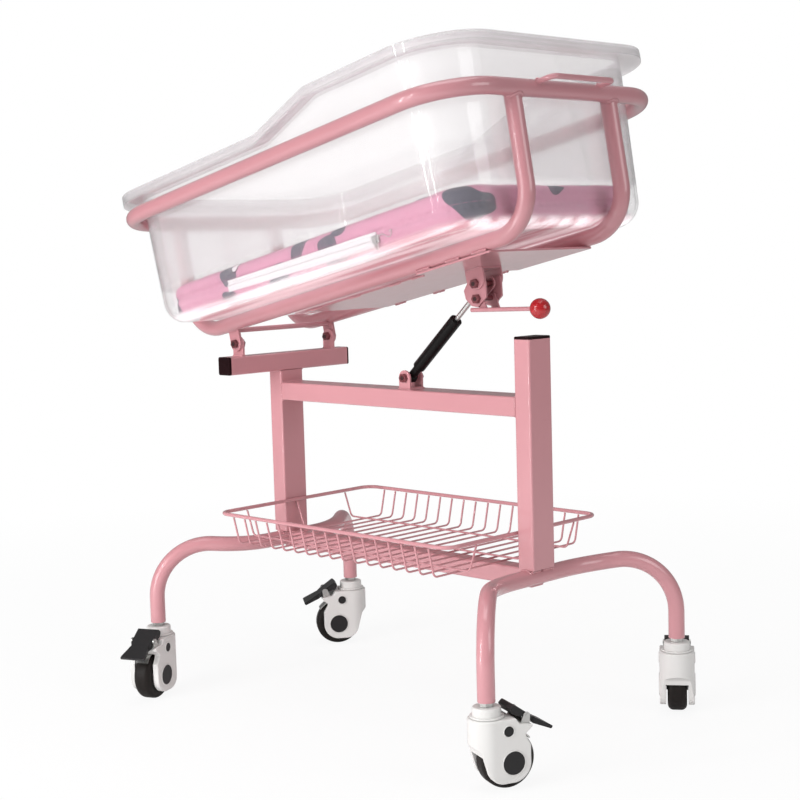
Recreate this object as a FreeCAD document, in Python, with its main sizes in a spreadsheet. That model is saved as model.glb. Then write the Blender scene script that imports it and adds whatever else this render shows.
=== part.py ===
"""Hospital bassinet: a clear tub on a tilting tube cradle, carried by a wheeled stand.

Millimetres. +Z is up, +X runs from the foot end to the head end, and the origin is on
the floor under the middle of the stand.  The cradle has a frame of its own: its origin is
the hinge line, x runs along the tub, y across it and z square to the tub's floor.
"""

import FreeCAD, Part
import Sketcher
import math
import os
import re

Vector = FreeCAD.Vector
UP = Vector(0, 0, 1)

doc = FreeCAD.newDocument("bassinet")
sheet = doc.addObject("Spreadsheet::Sheet", "Sizes")
sub_parts = []


# ---------------------------------------------------------------- driving dimensions

SIZES = {
    # clearances
    "weld_gap": (0.05, "between two pieces welded or pressed together"),
    "play": (0.3, "between pieces that move past each other"),
    "pin_play": (0.08, "radial clearance of a pin or bolt in its hole"),
    # round frame tube
    "tube": (25, "outside diameter"),
    "tube_wall": (1.5, "wall"),
    # stand: posts and beams
    "post_reach": (275, "from the middle to each post"),
    "post_thick": (30, "post along X"),
    "post_broad": (50, "post along Y"),
    "box_wall": (2, "wall of the box sections"),
    "box_bend": (3, "outside corner radius of the box sections"),
    "stop_top": (602.2, "top of the head post's cap, where the level cradle rests"),
    "cap_thick": (4, "head of a plastic end cap"),
    "plug_depth": (14, "how far an end cap's plug goes in"),
    "tee_length": (262, "cross member on the foot post"),
    "tee_top": (563.5, "its upper face"),
    "beam_thick": (30, "height of the cross member and the crossbar"),
    "crossbar_top": (513.8, "upper face of the crossbar"),
    "sill_thick": (28, "height of the low beam between the feet"),
    "sill_broad": (30, "its width"),
    # feet
    "foot_level": (244.6, "centre line of a foot at its post"),
    "foot_rise": (13.7, "how much the arm climbs to the leg"),
    "foot_corner": (100.7, "where the straight middle's line meets the arm's"),
    "foot_bend": (146, "radius of that bend"),
    "leg_bend": (87, "radius of the bend into the leg"),
    "caster_x": (368, "stem to the middle, along X"),
    "caster_y": (222.4, "stem to the middle, along Y"),
    "leg_end": (122, "lower end of a leg"),
    # wire basket
    "rim_wire": (6, "diameter of the rim wire"),
    "mesh_wire": (3.2, "diameter of the other wires"),
    "rim_level": (310.6, "centre line of the rim"),
    "rim_half_width": (172.5, "rim to the middle, along Y"),
    "rim_bend": (22, "corner radius of the rim"),
    "basket_depth": (47.7, "rim to the cross wires' floor"),
    "basket_inset": (10.5, "how much a side leans in"),
    "wire_pitch": (27.3, "spacing of the cross wires"),
    "cross_wires": (17, "number of cross wires"),
    "runner_offset": (112, "side runner wires to the middle one"),
    "runner_inset": (15, "how much a basket end leans in"),
    "wire_bend": (9, "radius of a wire's bend"),
    "wire_drop": (0.75, "gap left for the weld between a wire's end and the rim"),
    # hinge of the cradle
    "hinge_level": (584.1, "hinge line above the floor"),
    "tilt": (12.19, "slope of the cradle at rest, in degrees"),
    "lug_width": (25, "width of a hinge lug"),
    "lug_thick": (4, "sheet of a hinge lug"),
    "upper_lug_inner": (104, "inner face of an upper lug to the middle"),
    "bolt": (8, "diameter of the bolts and of the gas spring's rod"),
    "head_across": (13, "bolt head across flats"),
    "head_high": (5.3, "bolt head height"),
    "nut_high": (6.5, "nut height"),
    "tie_rod": (8.5, "diameter of the rod between the upper lugs"),
    "tie_x": (4, "its place along the cradle"),
    "tie_z": (22, "its height above the hinge line"),
    # cradle tubes
    "ring_level": (228, "centre line of the ring above the hinge line"),
    "ring_foot": (99, "ring beyond the hinge line at the foot end"),
    "ring_head": (681, "ring's head end"),
    "ring_half_width": (242.2, "ring to the middle"),
    "ring_bend": (92, "corner radius of the ring"),
    "hoop_offset": (107.4, "each under-tube to the middle"),
    "hoop_level": (34, "bottom run of the under-tubes"),
    "hoop_head": (668.2, "head corner of the under-tubes"),
    "hoop_lean": (7.6, "how much their head end leans out"),
    "hoop_bend": (66, "bend radius of the under-tubes"),
    "plate_thick": (3, "support plate"),
    "plate_foot": (165, "start of its narrow part"),
    "plate_step": (441, "start of its wide part"),
    "plate_head": (591, "its head edge"),
    "plate_narrow": (94, "half width of the narrow part"),
    "plate_wide": (116, "half width of the wide part"),
    "grab_rod": (8, "diameter of the handle rod"),
    "grab_half": (68, "half the length of the handle"),
    "grab_reach": (720, "how far the handle stands out"),
    "grab_level": (234, "handle above the hinge line"),
    "grab_bend": (10, "corner radius of the handle"),
    # gas spring
    "spring_x": (24.5, "lower pivot of the gas spring"),
    "spring_level": (531.6, "its height"),
    "anchor_x": (470.5, "upper pivot in the cradle's frame"),
    "anchor_z": (-4, "upper pivot in the cradle's frame"),
    "clevis_broad": (30, "outside width of the lower clevis"),
    "clevis_long": (24, "its length along X"),
    "spring_body": (20, "diameter of the cylinder"),
    "spring_neck": (14, "diameter of its lower neck"),
    "neck_long": (24, "pivot to the top of the neck"),
    "spring_long": (137, "pivot to the top of the cylinder"),
    "spring_shell": (1.6, "wall of the cylinder"),
    "gland": (6, "thickness of the cylinder's end gland"),
    "piston": (9, "length of the piston"),
    "piston_at": (113, "pivot to the piston"),
    "eye_broad": (11, "width of the spring's lower eye"),
    "end_back": (29, "upper pivot to the rod end's base"),
    "end_half": (11.5, "half width of the rod end"),
    "end_slack": (3.9, "how far the rod end's hole clears its bolt"),
    "end_round": (10.6, "radius of the rod end round its hole"),
    # bracket and release lever
    "strap_half": (22, "outer faces of the bracket to the middle"),
    "strap_width": (35, "width of the bracket's straps"),
    "strap_drop": (13.3, "rounded end of a strap below the hinge plane"),
    "lever_x": (465.8, "lever pivot in the cradle's frame"),
    "lever_z": (-26.1, "lever pivot in the cradle's frame"),
    "lever_drop": (16.2, "handle rod below the lever pivot"),
    "lever_rod": (6.5, "diameter of the handle rod"),
    "lever_rod_y": (28.6, "handle rod to the middle"),
    "lever_reach": (129, "lever pivot to the knob"),
    "lever_slope": (1.45, "slope of the handle rod, in degrees"),
    "knob": (30, "diameter of the knob"),
    # tub
    "shell": (3, "wall of the tub"),
    "tub_floor": (46.8, "underside of the tub above the hinge line"),
    "tub_foot": (-79, "foot wall at the floor"),
    "tub_head": (652, "head wall at the floor"),
    "tub_half": (214.5, "half width at the floor"),
    "tub_bend": (72, "vertical corner radius at the floor"),
    "tub_top": (305, "height where the walls are measured"),
    "top_foot": (-81.5, "foot wall up there"),
    "top_head": (665, "head wall up there"),
    "top_half": (231, "half width up there"),
    "top_bend": (88, "vertical corner radius up there"),
    "side_round": (36, "radius between floor and side walls"),
    "end_round_tub": (52, "radius between floor and end walls"),
    "rim_foot": (-112, "outer edge of the rim at the foot"),
    "rim_head": (693.5, "outer edge of the rim at the head"),
    "rim_half": (254.7, "half width over the rim"),
    "rim_corner": (104, "corner radius of the rim"),
    "lip": (15, "depth of the rim's turned-down lip"),
    "low_rim": (265.5, "top of the rim at the foot"),
    "high_rim": (301.5, "top of the rim at the head"),
    "ramp_start": (300, "where the rim starts to climb"),
    "ramp_end": (422, "where it is up"),
    "ramp_round": (30, "radius at the ramp's two ends"),
    # mattress
    "pad_thick": (56, "thickness"),
    "pad_foot_gap": (12, "tub's foot wall to the mattress"),
    "pad_head_gap": (6, "tub's head wall to the mattress"),
    "pad_side_gap": (7.5, "tub's side walls to the mattress"),
    "pad_bend": (58, "corner radius"),
    "pad_round": (12, "radius of its upper edges"),
    "pad_side_round": (26, "radius of the lower edges along its sides"),
    "pad_end_round": (40, "radius of the lower edges at its ends"),
    # casters, in a frame with the stem on Z and the wheel trailing along +X
    "wheel": (80, "diameter"),
    "tyre_broad": (30, "width of the tyre"),
    "tyre_round": (9, "radius of the tyre's shoulders"),
    "wheel_hub": (52, "diameter of the wheel's centre"),
    "trail": (26.5, "stem to axle"),
    "hood_half": (27, "half width of the housing"),
    "hood_top": (101, "top of the housing"),
    "hood_low": (12, "lowest point of the housing"),
    "hood_skirt": (27, "radius of the side cheeks round the axle"),
    "hood_soft": (2, "rounding of the cheeks' edges"),
    "hood_crown": (2.5, "rounding of the housing's top edge"),
    "well_half": (17.5, "half width of the wheel's well"),
    "well_gap": (3.5, "well to tyre, measured round the wheel"),
    "hub_cap": (32, "diameter of an axle cap"),
    "bolt_cap": (14, "diameter of a small cap"),
    "bolt_cap_x": (19.5, "small cap behind the stem"),
    "bolt_cap_z": (84.7, "height of the small cap"),
    "cap_proud": (1, "how far a cap stands out of its recess"),
    "cap_sink": (2, "depth of its recess"),
    "stem": (12, "diameter of the stem"),
    "stem_low": (89, "lower end of the stem"),
    "stem_nut": (5.6, "height of the stem's nut"),
    "stem_nut_across": (17, "that nut across flats"),
    "collar": (40, "diameter of the swivel cap"),
    "collar_flange": (48, "diameter of its flange"),
    "collar_top": (116, "its top"),
    "flange_high": (2.6, "thickness of the flange"),
    "ear_half": (21.5, "outer faces of the brake bracket's ears"),
    "ear_thick": (2, "sheet of the brake bracket"),
    "pedal_x": (51, "brake pedal's pin behind the stem"),
    "pedal_z": (101, "height of that pin"),
    "pedal_pin": (5, "diameter of that pin"),
    "pedal_half": (22, "half width of the pedal's blade"),
    "pedal_neck": (15.5, "half width of the pedal's neck"),
    "shoe_half": (11, "half width of the brake shoe"),
    "shoe_thick": (2, "thickness of the brake shoe"),
    "shoe_gap": (0.8, "tyre to brake shoe"),
}


def fill_sheet():
    for row, (alias, (amount, meaning)) in enumerate(SIZES.items(), start=1):
        sheet.set(f"A{row}", alias)
        sheet.set(f"B{row}", str(amount))
        sheet.setAlias(f"B{row}", alias)
        sheet.set(f"C{row}", meaning)
    doc.recompute()


def bound(expression):
    """The expression with each alias named as a cell of the sheet."""
    return re.sub(
        r"[a-z][a-z_]*",
        lambda word: f"Sizes.{word.group(0)}" if word.group(0) in SIZES else word.group(0),
        expression,
    )


def size(expression):
    return float(sheet.evalExpression(bound(expression)))


# ---------------------------------------------------------------- sketches


def origin_plane(body, role):
    return next(plane for plane in body.Origin.OriginFeatures if plane.Role == role)


def sketch_on(body, name, role, offset="0"):
    sketch = body.newObject("Sketcher::SketchObject", name)
    sketch.AttachmentSupport = (origin_plane(body, role), "")
    sketch.MapMode = "FlatFace"
    sketch.setExpression("AttachmentOffset.Base.z", bound(offset))
    return sketch


def dimension(sketch, kind, places, expression):
    index = sketch.addConstraint(Sketcher.Constraint(kind, *places, size(expression)))
    sketch.renameConstraint(index, f"size{index}")
    sketch.setExpression(f"Constraints.size{index}", bound(expression))


def draw_circle(sketch, radius, x="0", y="0"):
    centre = Vector(size(x), size(y), 0)
    circle = sketch.addGeometry(Part.Circle(centre, UP, size(radius)))
    dimension(sketch, "Radius", (circle,), radius)
    dimension(sketch, "DistanceX", (-1, 1, circle, 3), x)
    dimension(sketch, "DistanceY", (-1, 1, circle, 3), y)


def draw_outline(sketch, corners, bends="0", closed=True):
    """Lines through the corners, with a tangent arc of its own radius at each bend."""
    count = len(corners)
    if isinstance(bends, str):
        bends = [bends] * count
    points = [Vector(size(x), size(y), 0) for x, y in corners]
    turns = {}
    for i in range(count) if closed else range(1, count - 1):
        if size(bends[i]) > 0:
            back = (points[i - 1] - points[i]).normalize()
            ahead = (points[(i + 1) % count] - points[i]).normalize()
            half = back.getAngle(ahead) / 2
            reach = size(bends[i]) / math.tan(half)
            middle = points[i] + (back + ahead).normalize() * (
                size(bends[i]) / math.sin(half) - size(bends[i])
            )
            turns[i] = (points[i] + back * reach, middle, points[i] + ahead * reach)
    marks = []
    for i, point in enumerate(points):
        mark = sketch.addGeometry(Part.Point(point), True)
        dimension(sketch, "DistanceX", (-1, 1, mark, 1), corners[i][0])
        dimension(sketch, "DistanceY", (-1, 1, mark, 1), corners[i][1])
        marks.append(mark)
    lines = []
    for i in range(count if closed else count - 1):
        j = (i + 1) % count
        start = turns[i][2] if i in turns else points[i]
        end = turns[j][0] if j in turns else points[j]
        lines.append(sketch.addGeometry(Part.LineSegment(start, end)))
    for i in range(count):
        before = lines[i - 1] if closed or i > 0 else None
        after = lines[i] if closed or i < count - 1 else None
        if i in turns:
            arc = sketch.addGeometry(Part.Arc(*turns[i]))
            first, last = (1, 2)
            if (sketch.getPoint(arc, 1) - turns[i][0]).Length > 1e-6:
                first, last = (2, 1)
            sketch.addConstraint(Sketcher.Constraint("Tangent", before, 2, arc, first))
            sketch.addConstraint(Sketcher.Constraint("Tangent", after, 1, arc, last))
            dimension(sketch, "Radius", (arc,), bends[i])
            for line in (before, after):
                rule = Sketcher.Constraint("PointOnObject", marks[i], 1, line)
                sketch.addConstraint(rule)
        else:
            for line, end in ((before, 2), (after, 1)):
                if line is not None:
                    rule = Sketcher.Constraint("Coincident", line, end, marks[i], 1)
                    sketch.addConstraint(rule)


def rectangle(x_low, x_high, y_low, y_high):
    return [(x_low, y_low), (x_high, y_low), (x_high, y_high), (x_low, y_high)]


# ---------------------------------------------------------------- features of a body


def new_body(name):
    body = doc.addObject("PartDesign::Body", name)
    body.AllowCompound = True
    return body


def feature(body, kind, name, profile):
    made = body.newObject(f"PartDesign::{kind}", name)
    made.Profile = profile
    return made


def pad(body, sketch, length, midplane=False, reverse=False):
    made = feature(body, "Pad", sketch.Name + "_pad", sketch)
    made.setExpression("Length", bound(length))
    made.Midplane = midplane
    made.Reversed = reverse
    return made


def cut_through(body, sketch):
    made = feature(body, "Pocket", sketch.Name + "_cut", sketch)
    made.Type = "ThroughAll"
    made.Midplane = True
    return made


def cut_depth(body, sketch, length, reverse=False, midplane=False):
    made = feature(body, "Pocket", sketch.Name + "_cut", sketch)
    made.setExpression("Length", bound(length))
    made.Reversed = reverse
    made.Midplane = midplane
    return made


def revolve(body, sketch, axis="H_Axis"):
    made = feature(body, "Revolution", sketch.Name + "_turned", sketch)
    made.ReferenceAxis = (sketch, [axis])
    made.Angle = 360
    return made


def pipe(body, section, path, kind="AdditivePipe"):
    doc.recompute()
    made = feature(body, kind, section.Name + "_swept", section)
    made.Spine = (path, [f"Edge{i + 1}" for i in range(len(path.Shape.Edges))])
    return made


def plate(name, role, corners, bends, thick, offset="0", midplane=False):
    """A flat piece: one outline, one thickness."""
    body = new_body(name)
    outline = sketch_on(body, name + "_outline", role, offset)
    draw_outline(outline, corners, bends)
    pad(body, outline, thick, midplane)
    return body


def drill(body, role, name, radius, x, y):
    hole = sketch_on(body, name, role)
    draw_circle(hole, radius, x, y)
    cut_through(body, hole)


def box_section(name, role, across, deep, length, offset="0", midplane=False, level="0"):
    """A rectangular tube along the normal of its plane, open at both ends."""
    body = new_body(name)
    section = sketch_on(body, name + "_section", role, offset)
    for inset, bend in (("0", "box_bend"), ("box_wall", "box_bend - box_wall")):
        half, tall = f"({across}) / 2 - {inset}", f"({deep}) / 2 - {inset}"
        low, high = f"{level} - ({tall})", f"{level} + ({tall})"
        draw_outline(section, rectangle(f"-({half})", half, low, high), bend)
    pad(body, section, length, midplane)
    return body


# ---------------------------------------------------------------- primitives


def primitive(kind, name, sizes, at=("0", "0", "0"), axis=UP, angle=0):
    made = doc.addObject(f"Part::{kind}", name)
    for key, expression in sizes.items():
        made.setExpression(key, bound(expression))
    made.Placement = FreeCAD.Placement(Vector(), FreeCAD.Rotation(axis, angle))
    for letter, expression in zip("xyz", at):
        made.setExpression(f".Placement.Base.{letter}", bound(expression))
    return made


def rod_along_y(name, radius, length, at):
    sizes = {"Radius": radius, "Height": length}
    return primitive("Cylinder", name, sizes, at, Vector(1, 0, 0), -90)


def hexagon_along_y(name, across, high, at):
    sizes = {"Circumradius": f"({across}) / 1.7320508", "Height": high}
    made = primitive("Prism", name, sizes, at, Vector(1, 0, 0), -90)
    made.Polygon = 6
    return made


def joined(name, pieces):
    made = doc.addObject("Part::MultiFuse", name)
    made.Shapes = pieces
    return made


def cut_from(name, base, tool):
    made = doc.addObject("Part::Cut", name)
    made.Base = base
    made.Tool = tool
    return made


def common(name, base, tool):
    made = doc.addObject("Part::Common", name)
    made.Base = base
    made.Tool = tool
    return made


def group(name, pieces):
    made = doc.addObject("Part::Compound", name)
    made.Links = pieces
    return made


def across_middle(name, piece):
    made = doc.addObject("Part::Mirroring", name)
    made.Source = piece
    made.Normal = Vector(0, 1, 0)
    return made


def bolt_and_nut(name, x, z, head_face, nut_face, head_side=-1):
    """A hexagon bolt along Y: head outside head_face, nut outside nut_face."""
    head_y = f"-({head_face}) - head_high" if head_side < 0 else f"{head_face}"
    nut_y = f"({nut_face})" if head_side < 0 else f"-({nut_face}) - nut_high"
    shank_y = f"-({head_face})" if head_side < 0 else f"-({nut_face}) - nut_high - 1"
    shank = rod_along_y(
        name + "_shank", "bolt / 2", f"{head_face} + ({nut_face}) + nut_high + 1", (x, shank_y, z)
    )
    head = hexagon_along_y(name + "_head", "head_across", "head_high", (x, head_y, z))
    nut_blank = hexagon_along_y(name + "_nut_blank", "head_across", "nut_high", (x, nut_y, z))
    thread = rod_along_y(name + "_thread", "bolt / 2 + weld_gap", "nut_high", (x, nut_y, z))
    return [joined(name + "_bolt", [shank, head]), cut_from(name + "_nut", nut_blank, thread)]


# ---------------------------------------------------------------- sub-parts


def sub_part(made, label, frame=None):
    """Take a finished object in as a piece of the bassinet, put where its frame is."""
    made.Label = label
    if frame is not None:
        made.Placement = frame
    sub_parts.append(made)
    return made


def stand_at(made, x="0", y="0", z="0"):
    for letter, expression in zip("xyz", (x, y, z)):
        made.setExpression(f".Placement.Base.{letter}", bound(expression))


def cradle_frame():
    hinge = Vector(-size("post_reach"), 0, size("hinge_level"))
    return FreeCAD.Placement(hinge, FreeCAD.Rotation(Vector(0, -1, 0), size("tilt")))


def in_cradle(x, z):
    return cradle_frame().multVec(Vector(size(x), 0, size(z)))


fill_sheet()
cradle = cradle_frame()


# ---------------------------------------------------------------- posts and beams


def make_post(label, side, top):
    foot_top = "foot_level + tube / 2 + weld_gap"
    post = box_section(
        label, "XY_Plane", "post_thick", "post_broad", f"({top}) - ({foot_top})", foot_top
    )
    stand_at(post, f"{side} * post_reach")
    sub_part(post, label)


def end_cap(name, across, deep):
    """A plastic cap lying on XY: its head above the plane, its plug below."""
    body = new_body(name)
    head = sketch_on(body, name + "_head", "XY_Plane")
    half, tall = f"({across}) / 2", f"({deep}) / 2"
    draw_outline(head, rectangle(f"-({half})", half, f"-({tall})", tall), "box_bend")
    pad(body, head, "cap_thick")
    plug = sketch_on(body, name + "_plug", "XY_Plane")
    inner, inner_tall = f"{half} - box_wall - weld_gap", f"{tall} - box_wall - weld_gap"
    corners = rectangle(f"-({inner})", inner, f"-({inner_tall})", inner_tall)
    draw_outline(plug, corners, "box_bend - box_wall")
    pad(body, plug, "plug_depth", reverse=True)
    doc.recompute()
    base = body.Tip
    rim = body.newObject("PartDesign::Chamfer", name + "_bevel")
    top = [
        f"Edge{i + 1}"
        for i, edge in enumerate(base.Shape.Edges)
        if min(v.Z for v in edge.Vertexes) > size("cap_thick") - 1e-6
    ]
    rim.Base = (base, top)
    rim.Size = 1
    return body


def make_stand():
    tee_low = "tee_top - beam_thick"
    make_post("post_head", "1", "stop_top - cap_thick")
    make_post("post_foot", "-1", f"{tee_low} - weld_gap")

    cap = end_cap("post_cap", "post_thick", "post_broad")
    stand_at(cap, "post_reach", "0", "stop_top - cap_thick")
    sub_part(cap, "post_cap")

    tee = box_section(
        "t_beam", "XZ_Plane", "post_thick", "beam_thick", "tee_length",
        midplane=True, level="tee_top - beam_thick / 2",
    )
    stand_at(tee, "-post_reach")
    sub_part(tee, "t_beam")

    near_cap = end_cap("tee_cap", "post_thick", "beam_thick")
    near_cap.Placement = FreeCAD.Placement(
        Vector(), FreeCAD.Rotation(Vector(1, 0, 0), 90)
    )
    stand_at(near_cap, "-post_reach", "-tee_length / 2", "tee_top - beam_thick / 2")
    far_cap = across_middle("far_tee_cap", near_cap)
    sub_part(group("tee_caps", [near_cap, far_cap]), "t_beam_caps")

    span = "2 * (post_reach - post_thick / 2 - weld_gap)"
    crossbar = box_section(
        "crossbar", "YZ_Plane", "post_broad", "beam_thick", span,
        midplane=True, level="crossbar_top - beam_thick / 2",
    )
    sub_part(crossbar, "crossbar")

    sill_top = "foot_level + tube / 2"
    sill = box_section(
        "sill", "YZ_Plane", "sill_broad", "sill_thick", "2 * post_reach",
        midplane=True, level=f"{sill_top} - sill_thick / 2",
    )
    saddle = sketch_on(sill, "sill_saddles", "XZ_Plane")
    for side in ("-post_reach", "post_reach"):
        draw_circle(saddle, "tube / 2 + weld_gap", side, "foot_level")
    cut_through(sill, saddle)
    sub_part(sill, "lower_beam")


# ---------------------------------------------------------------- feet


def rounded_wire(points, radii):
    """A wire in space: straight runs joined by tangent arcs at the inner points."""
    edges = []
    last = points[0]
    for i in range(1, len(points) - 1):
        back = (points[i - 1] - points[i]).normalize()
        ahead = (points[i + 1] - points[i]).normalize()
        half = back.getAngle(ahead) / 2
        reach = radii[i - 1] / math.tan(half)
        middle = points[i] + (back + ahead).normalize() * (
            radii[i - 1] / math.sin(half) - radii[i - 1]
        )
        start, end = points[i] + back * reach, points[i] + ahead * reach
        edges.append(Part.LineSegment(last, start).toShape())
        edges.append(Part.Arc(start, middle, end).toShape())
        last = end
    edges.append(Part.LineSegment(last, points[-1]).toShape())
    return Part.Wire(edges)


def bent_tube(path, outer, inner):
    start = path.Edges[0]
    origin = start.valueAt(start.FirstParameter)
    along = start.tangentAt(start.FirstParameter)
    solids = []
    for radius in (outer, inner):
        section = Part.Wire(Part.makeCircle(radius, origin, along))
        solids.append(path.makePipeShell([section], True, True))
    return solids[0].cut(solids[1])


def make_foot(label, side):
    """One tube bent four times: leg, arm, the straight under the post, arm, leg."""
    post, corner = size("post_reach"), size("foot_corner")
    far, wide = size("caster_x"), size("caster_y")
    low, high = size("foot_level"), size("foot_level + foot_rise")
    end = size("leg_end")
    half = [Vector(post, corner, low), Vector(far, wide, high), Vector(far, wide, end)]
    near = [Vector(p.x, -p.y, p.z) for p in reversed(half)]
    points = [Vector(side * p.x, p.y, p.z) for p in near + half]
    leg, arm = size("leg_bend"), size("foot_bend")
    path = rounded_wire(points, [leg, arm, arm, leg])
    foot = doc.addObject("Part::Feature", label)
    foot.Shape = bent_tube(path, size("tube / 2"), size("tube / 2 - tube_wall"))
    foot.Placement = FreeCAD.Placement()
    sub_part(foot, label)


# ---------------------------------------------------------------- wire basket


def make_basket():
    half_length = "(post_reach - post_thick / 2 - rim_wire / 2 - weld_gap)"
    rim = new_body("basket_rim")
    path = sketch_on(rim, "rim_path", "XY_Plane", "rim_level")
    corners = rectangle(f"-{half_length}", half_length, "-rim_half_width", "rim_half_width")
    draw_outline(path, corners, "rim_bend")
    section = sketch_on(rim, "rim_section", "YZ_Plane")
    draw_circle(section, "rim_wire / 2", "-rim_half_width", "rim_level")
    pipe(rim, section, path)
    sub_part(rim, "basket_rim")

    top = "rim_level - rim_wire / 2 - wire_drop"
    floor = "rim_level - basket_depth"
    wires = new_body("cross_wires")
    start = "-(cross_wires - 1) / 2 * wire_pitch"
    path = sketch_on(wires, "cross_wire_path", "YZ_Plane", start)
    inner = "rim_half_width - basket_inset"
    corners = [
        ("-rim_half_width", top), (f"-({inner})", floor),
        (inner, floor), ("rim_half_width", top),
    ]
    draw_outline(path, corners, "wire_bend", closed=False)
    section = sketch_on(wires, "cross_wire_section", "XY_Plane", top)
    section.setExpression("AttachmentOffset.Base.x", bound(start))
    draw_circle(section, "mesh_wire / 2", "0", "-rim_half_width")
    first = pipe(wires, section, path)
    doc.recompute()
    row = wires.newObject("PartDesign::LinearPattern", "cross_wire_row")
    row.Originals = [first]
    row.Direction = (next(a for a in wires.Origin.OriginFeatures if a.Role == "X_Axis"), [""])
    row.setExpression("Length", bound("(cross_wires - 1) * wire_pitch"))
    row.Occurrences = int(size("cross_wires"))
    wires.Tip = row
    sub_part(wires, "basket_cross_wires")

    runner_floor = f"{floor} + mesh_wire + weld_gap"
    runners = []
    for place in ("-runner_offset", "0", "runner_offset"):
        name = f"runner{len(runners)}"
        runner = new_body(name)
        path = sketch_on(runner, name + "_path", "XZ_Plane", f"-({place})")
        foot = f"{half_length} - runner_inset"
        corners = [
            (f"-{half_length}", top), (f"-({foot})", runner_floor),
            (foot, runner_floor), (half_length, top),
        ]
        draw_outline(path, corners, "wire_bend", closed=False)
        section = sketch_on(runner, name + "_section", "XY_Plane", top)
        draw_circle(section, "mesh_wire / 2", f"-{half_length}", place)
        pipe(runner, section, path)
        runners.append(runner)
    sub_part(group("runners", runners), "basket_long_wires")


# ---------------------------------------------------------------- cradle


def make_ring():
    ring = new_body("ring")
    path = sketch_on(ring, "ring_path", "XY_Plane", "ring_level")
    corners = rectangle("-ring_foot", "ring_head", "-ring_half_width", "ring_half_width")
    draw_outline(path, corners, "ring_bend")
    for name, radius, kind in (
        ("ring_outside", "tube / 2", "AdditivePipe"),
        ("ring_inside", "tube / 2 - tube_wall", "SubtractivePipe"),
    ):
        section = sketch_on(ring, name, "YZ_Plane", "ring_head / 2")
        draw_circle(section, radius, "-ring_half_width", "ring_level")
        pipe(ring, section, path, kind)
    sub_part(ring, "cradle_ring", cradle)


def make_hoop(label, offset):
    """An under-tube: down from the ring's foot end, along the tub, up to its head end."""
    hoop = new_body(label)
    path = sketch_on(hoop, label + "_path", "XZ_Plane", f"-({offset})")
    end = "ring_level - tube / 4"
    corners = [
        ("-ring_foot", end), ("-ring_foot", "hoop_level"),
        ("hoop_head", "hoop_level"), ("hoop_head + hoop_lean", end),
    ]
    draw_outline(path, corners, "hoop_bend", closed=False)
    for name, radius, kind in (
        ("_outside", "tube / 2", "AdditivePipe"),
        ("_inside", "tube / 2 - tube_wall", "SubtractivePipe"),
    ):
        section = sketch_on(hoop, label + name, "XY_Plane", end)
        draw_circle(section, radius, "-ring_foot", offset)
        pipe(hoop, section, path, kind)
    saddle = sketch_on(hoop, label + "_saddles", "XZ_Plane")
    for place in ("-ring_foot", "ring_head"):
        draw_circle(saddle, "tube / 2 + weld_gap", place, "ring_level")
    cut_through(hoop, saddle)
    sub_part(hoop, label, cradle)


def make_support_plate():
    top = "hoop_level - tube / 2 - weld_gap"
    corners = [
        ("plate_foot", "-plate_narrow"), ("plate_step", "-plate_narrow"),
        ("plate_step", "-plate_wide"), ("plate_head", "-plate_wide"),
        ("plate_head", "plate_wide"), ("plate_step", "plate_wide"),
        ("plate_step", "plate_narrow"), ("plate_foot", "plate_narrow"),
    ]
    support = plate("support", "XY_Plane", corners, "4", "plate_thick", f"{top} - plate_thick")
    sub_part(support, "support_plate", cradle)


def lug(name, low, high, round_end, face, x="0"):
    """A hinge lug in an XZ plane, rounded at one end and square at the other."""
    half = "lug_width / 2"
    bends = ["0", "0", half, half] if round_end == "top" else [half, half, "0", "0"]
    corners = rectangle(f"{x} - {half}", f"{x} + {half}", low, high)
    bends = [f"({bend}) - 0.01" if bend == half else bend for bend in bends]
    return plate(name, "XZ_Plane", corners, bends, "lug_thick", face)


def make_hinge():
    inner = "upper_lug_inner"
    upper = lug("upper_lug", "-lug_width / 2", "hoop_level", "bottom", inner)
    drill(upper, "XZ_Plane", "upper_lug_hole", "bolt / 2 + weld_gap", "0", "0")
    tool = primitive(
        "Cylinder", "lug_saddle", {"Radius": "tube / 2 + weld_gap", "Height": "2 * lug_width"},
        ("-lug_width", "-hoop_offset", "hoop_level"), Vector(0, 1, 0), 90,
    )
    near = cut_from("near_upper_lug", upper, tool)
    far = across_middle("far_upper_lug", near)
    tie_half = "(upper_lug_inner - weld_gap)"
    rod = rod_along_y(
        "tie_blank", "tie_rod / 2", f"2 * {tie_half}", ("tie_x", f"-{tie_half}", "tie_z")
    )
    tubes = group("tie_saddles", [tool, across_middle("far_lug_saddle", tool)])
    tie = cut_from("tie", rod, tubes)
    sub_part(group("upper_lugs", [near, far, tie]), "upper_hinge_lugs", cradle)

    lower_face = "upper_lug_inner - play - lug_thick"
    lower = lug(
        "lower_lug", "tee_top - hinge_level + weld_gap", "lug_width / 2", "top", lower_face
    )
    drill(lower, "XZ_Plane", "lower_lug_hole", "bolt / 2 + pin_play", "0", "0")
    far_lower = across_middle("far_lower_lug", lower)
    lugs = group("lower_lugs", [lower, far_lower])
    stand_at(lugs, "-post_reach", "0", "hinge_level")
    sub_part(lugs, "lower_hinge_lugs")

    outer = "upper_lug_inner + lug_thick + weld_gap"
    near_bolt = bolt_and_nut("near_hinge", "0", "0", outer, f"-({lower_face}) + play")
    far_bolt = [across_middle(f"far_{piece.Name}", piece) for piece in near_bolt]
    sub_part(group("hinge_set", near_bolt + far_bolt), "hinge_bolts", cradle)


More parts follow.
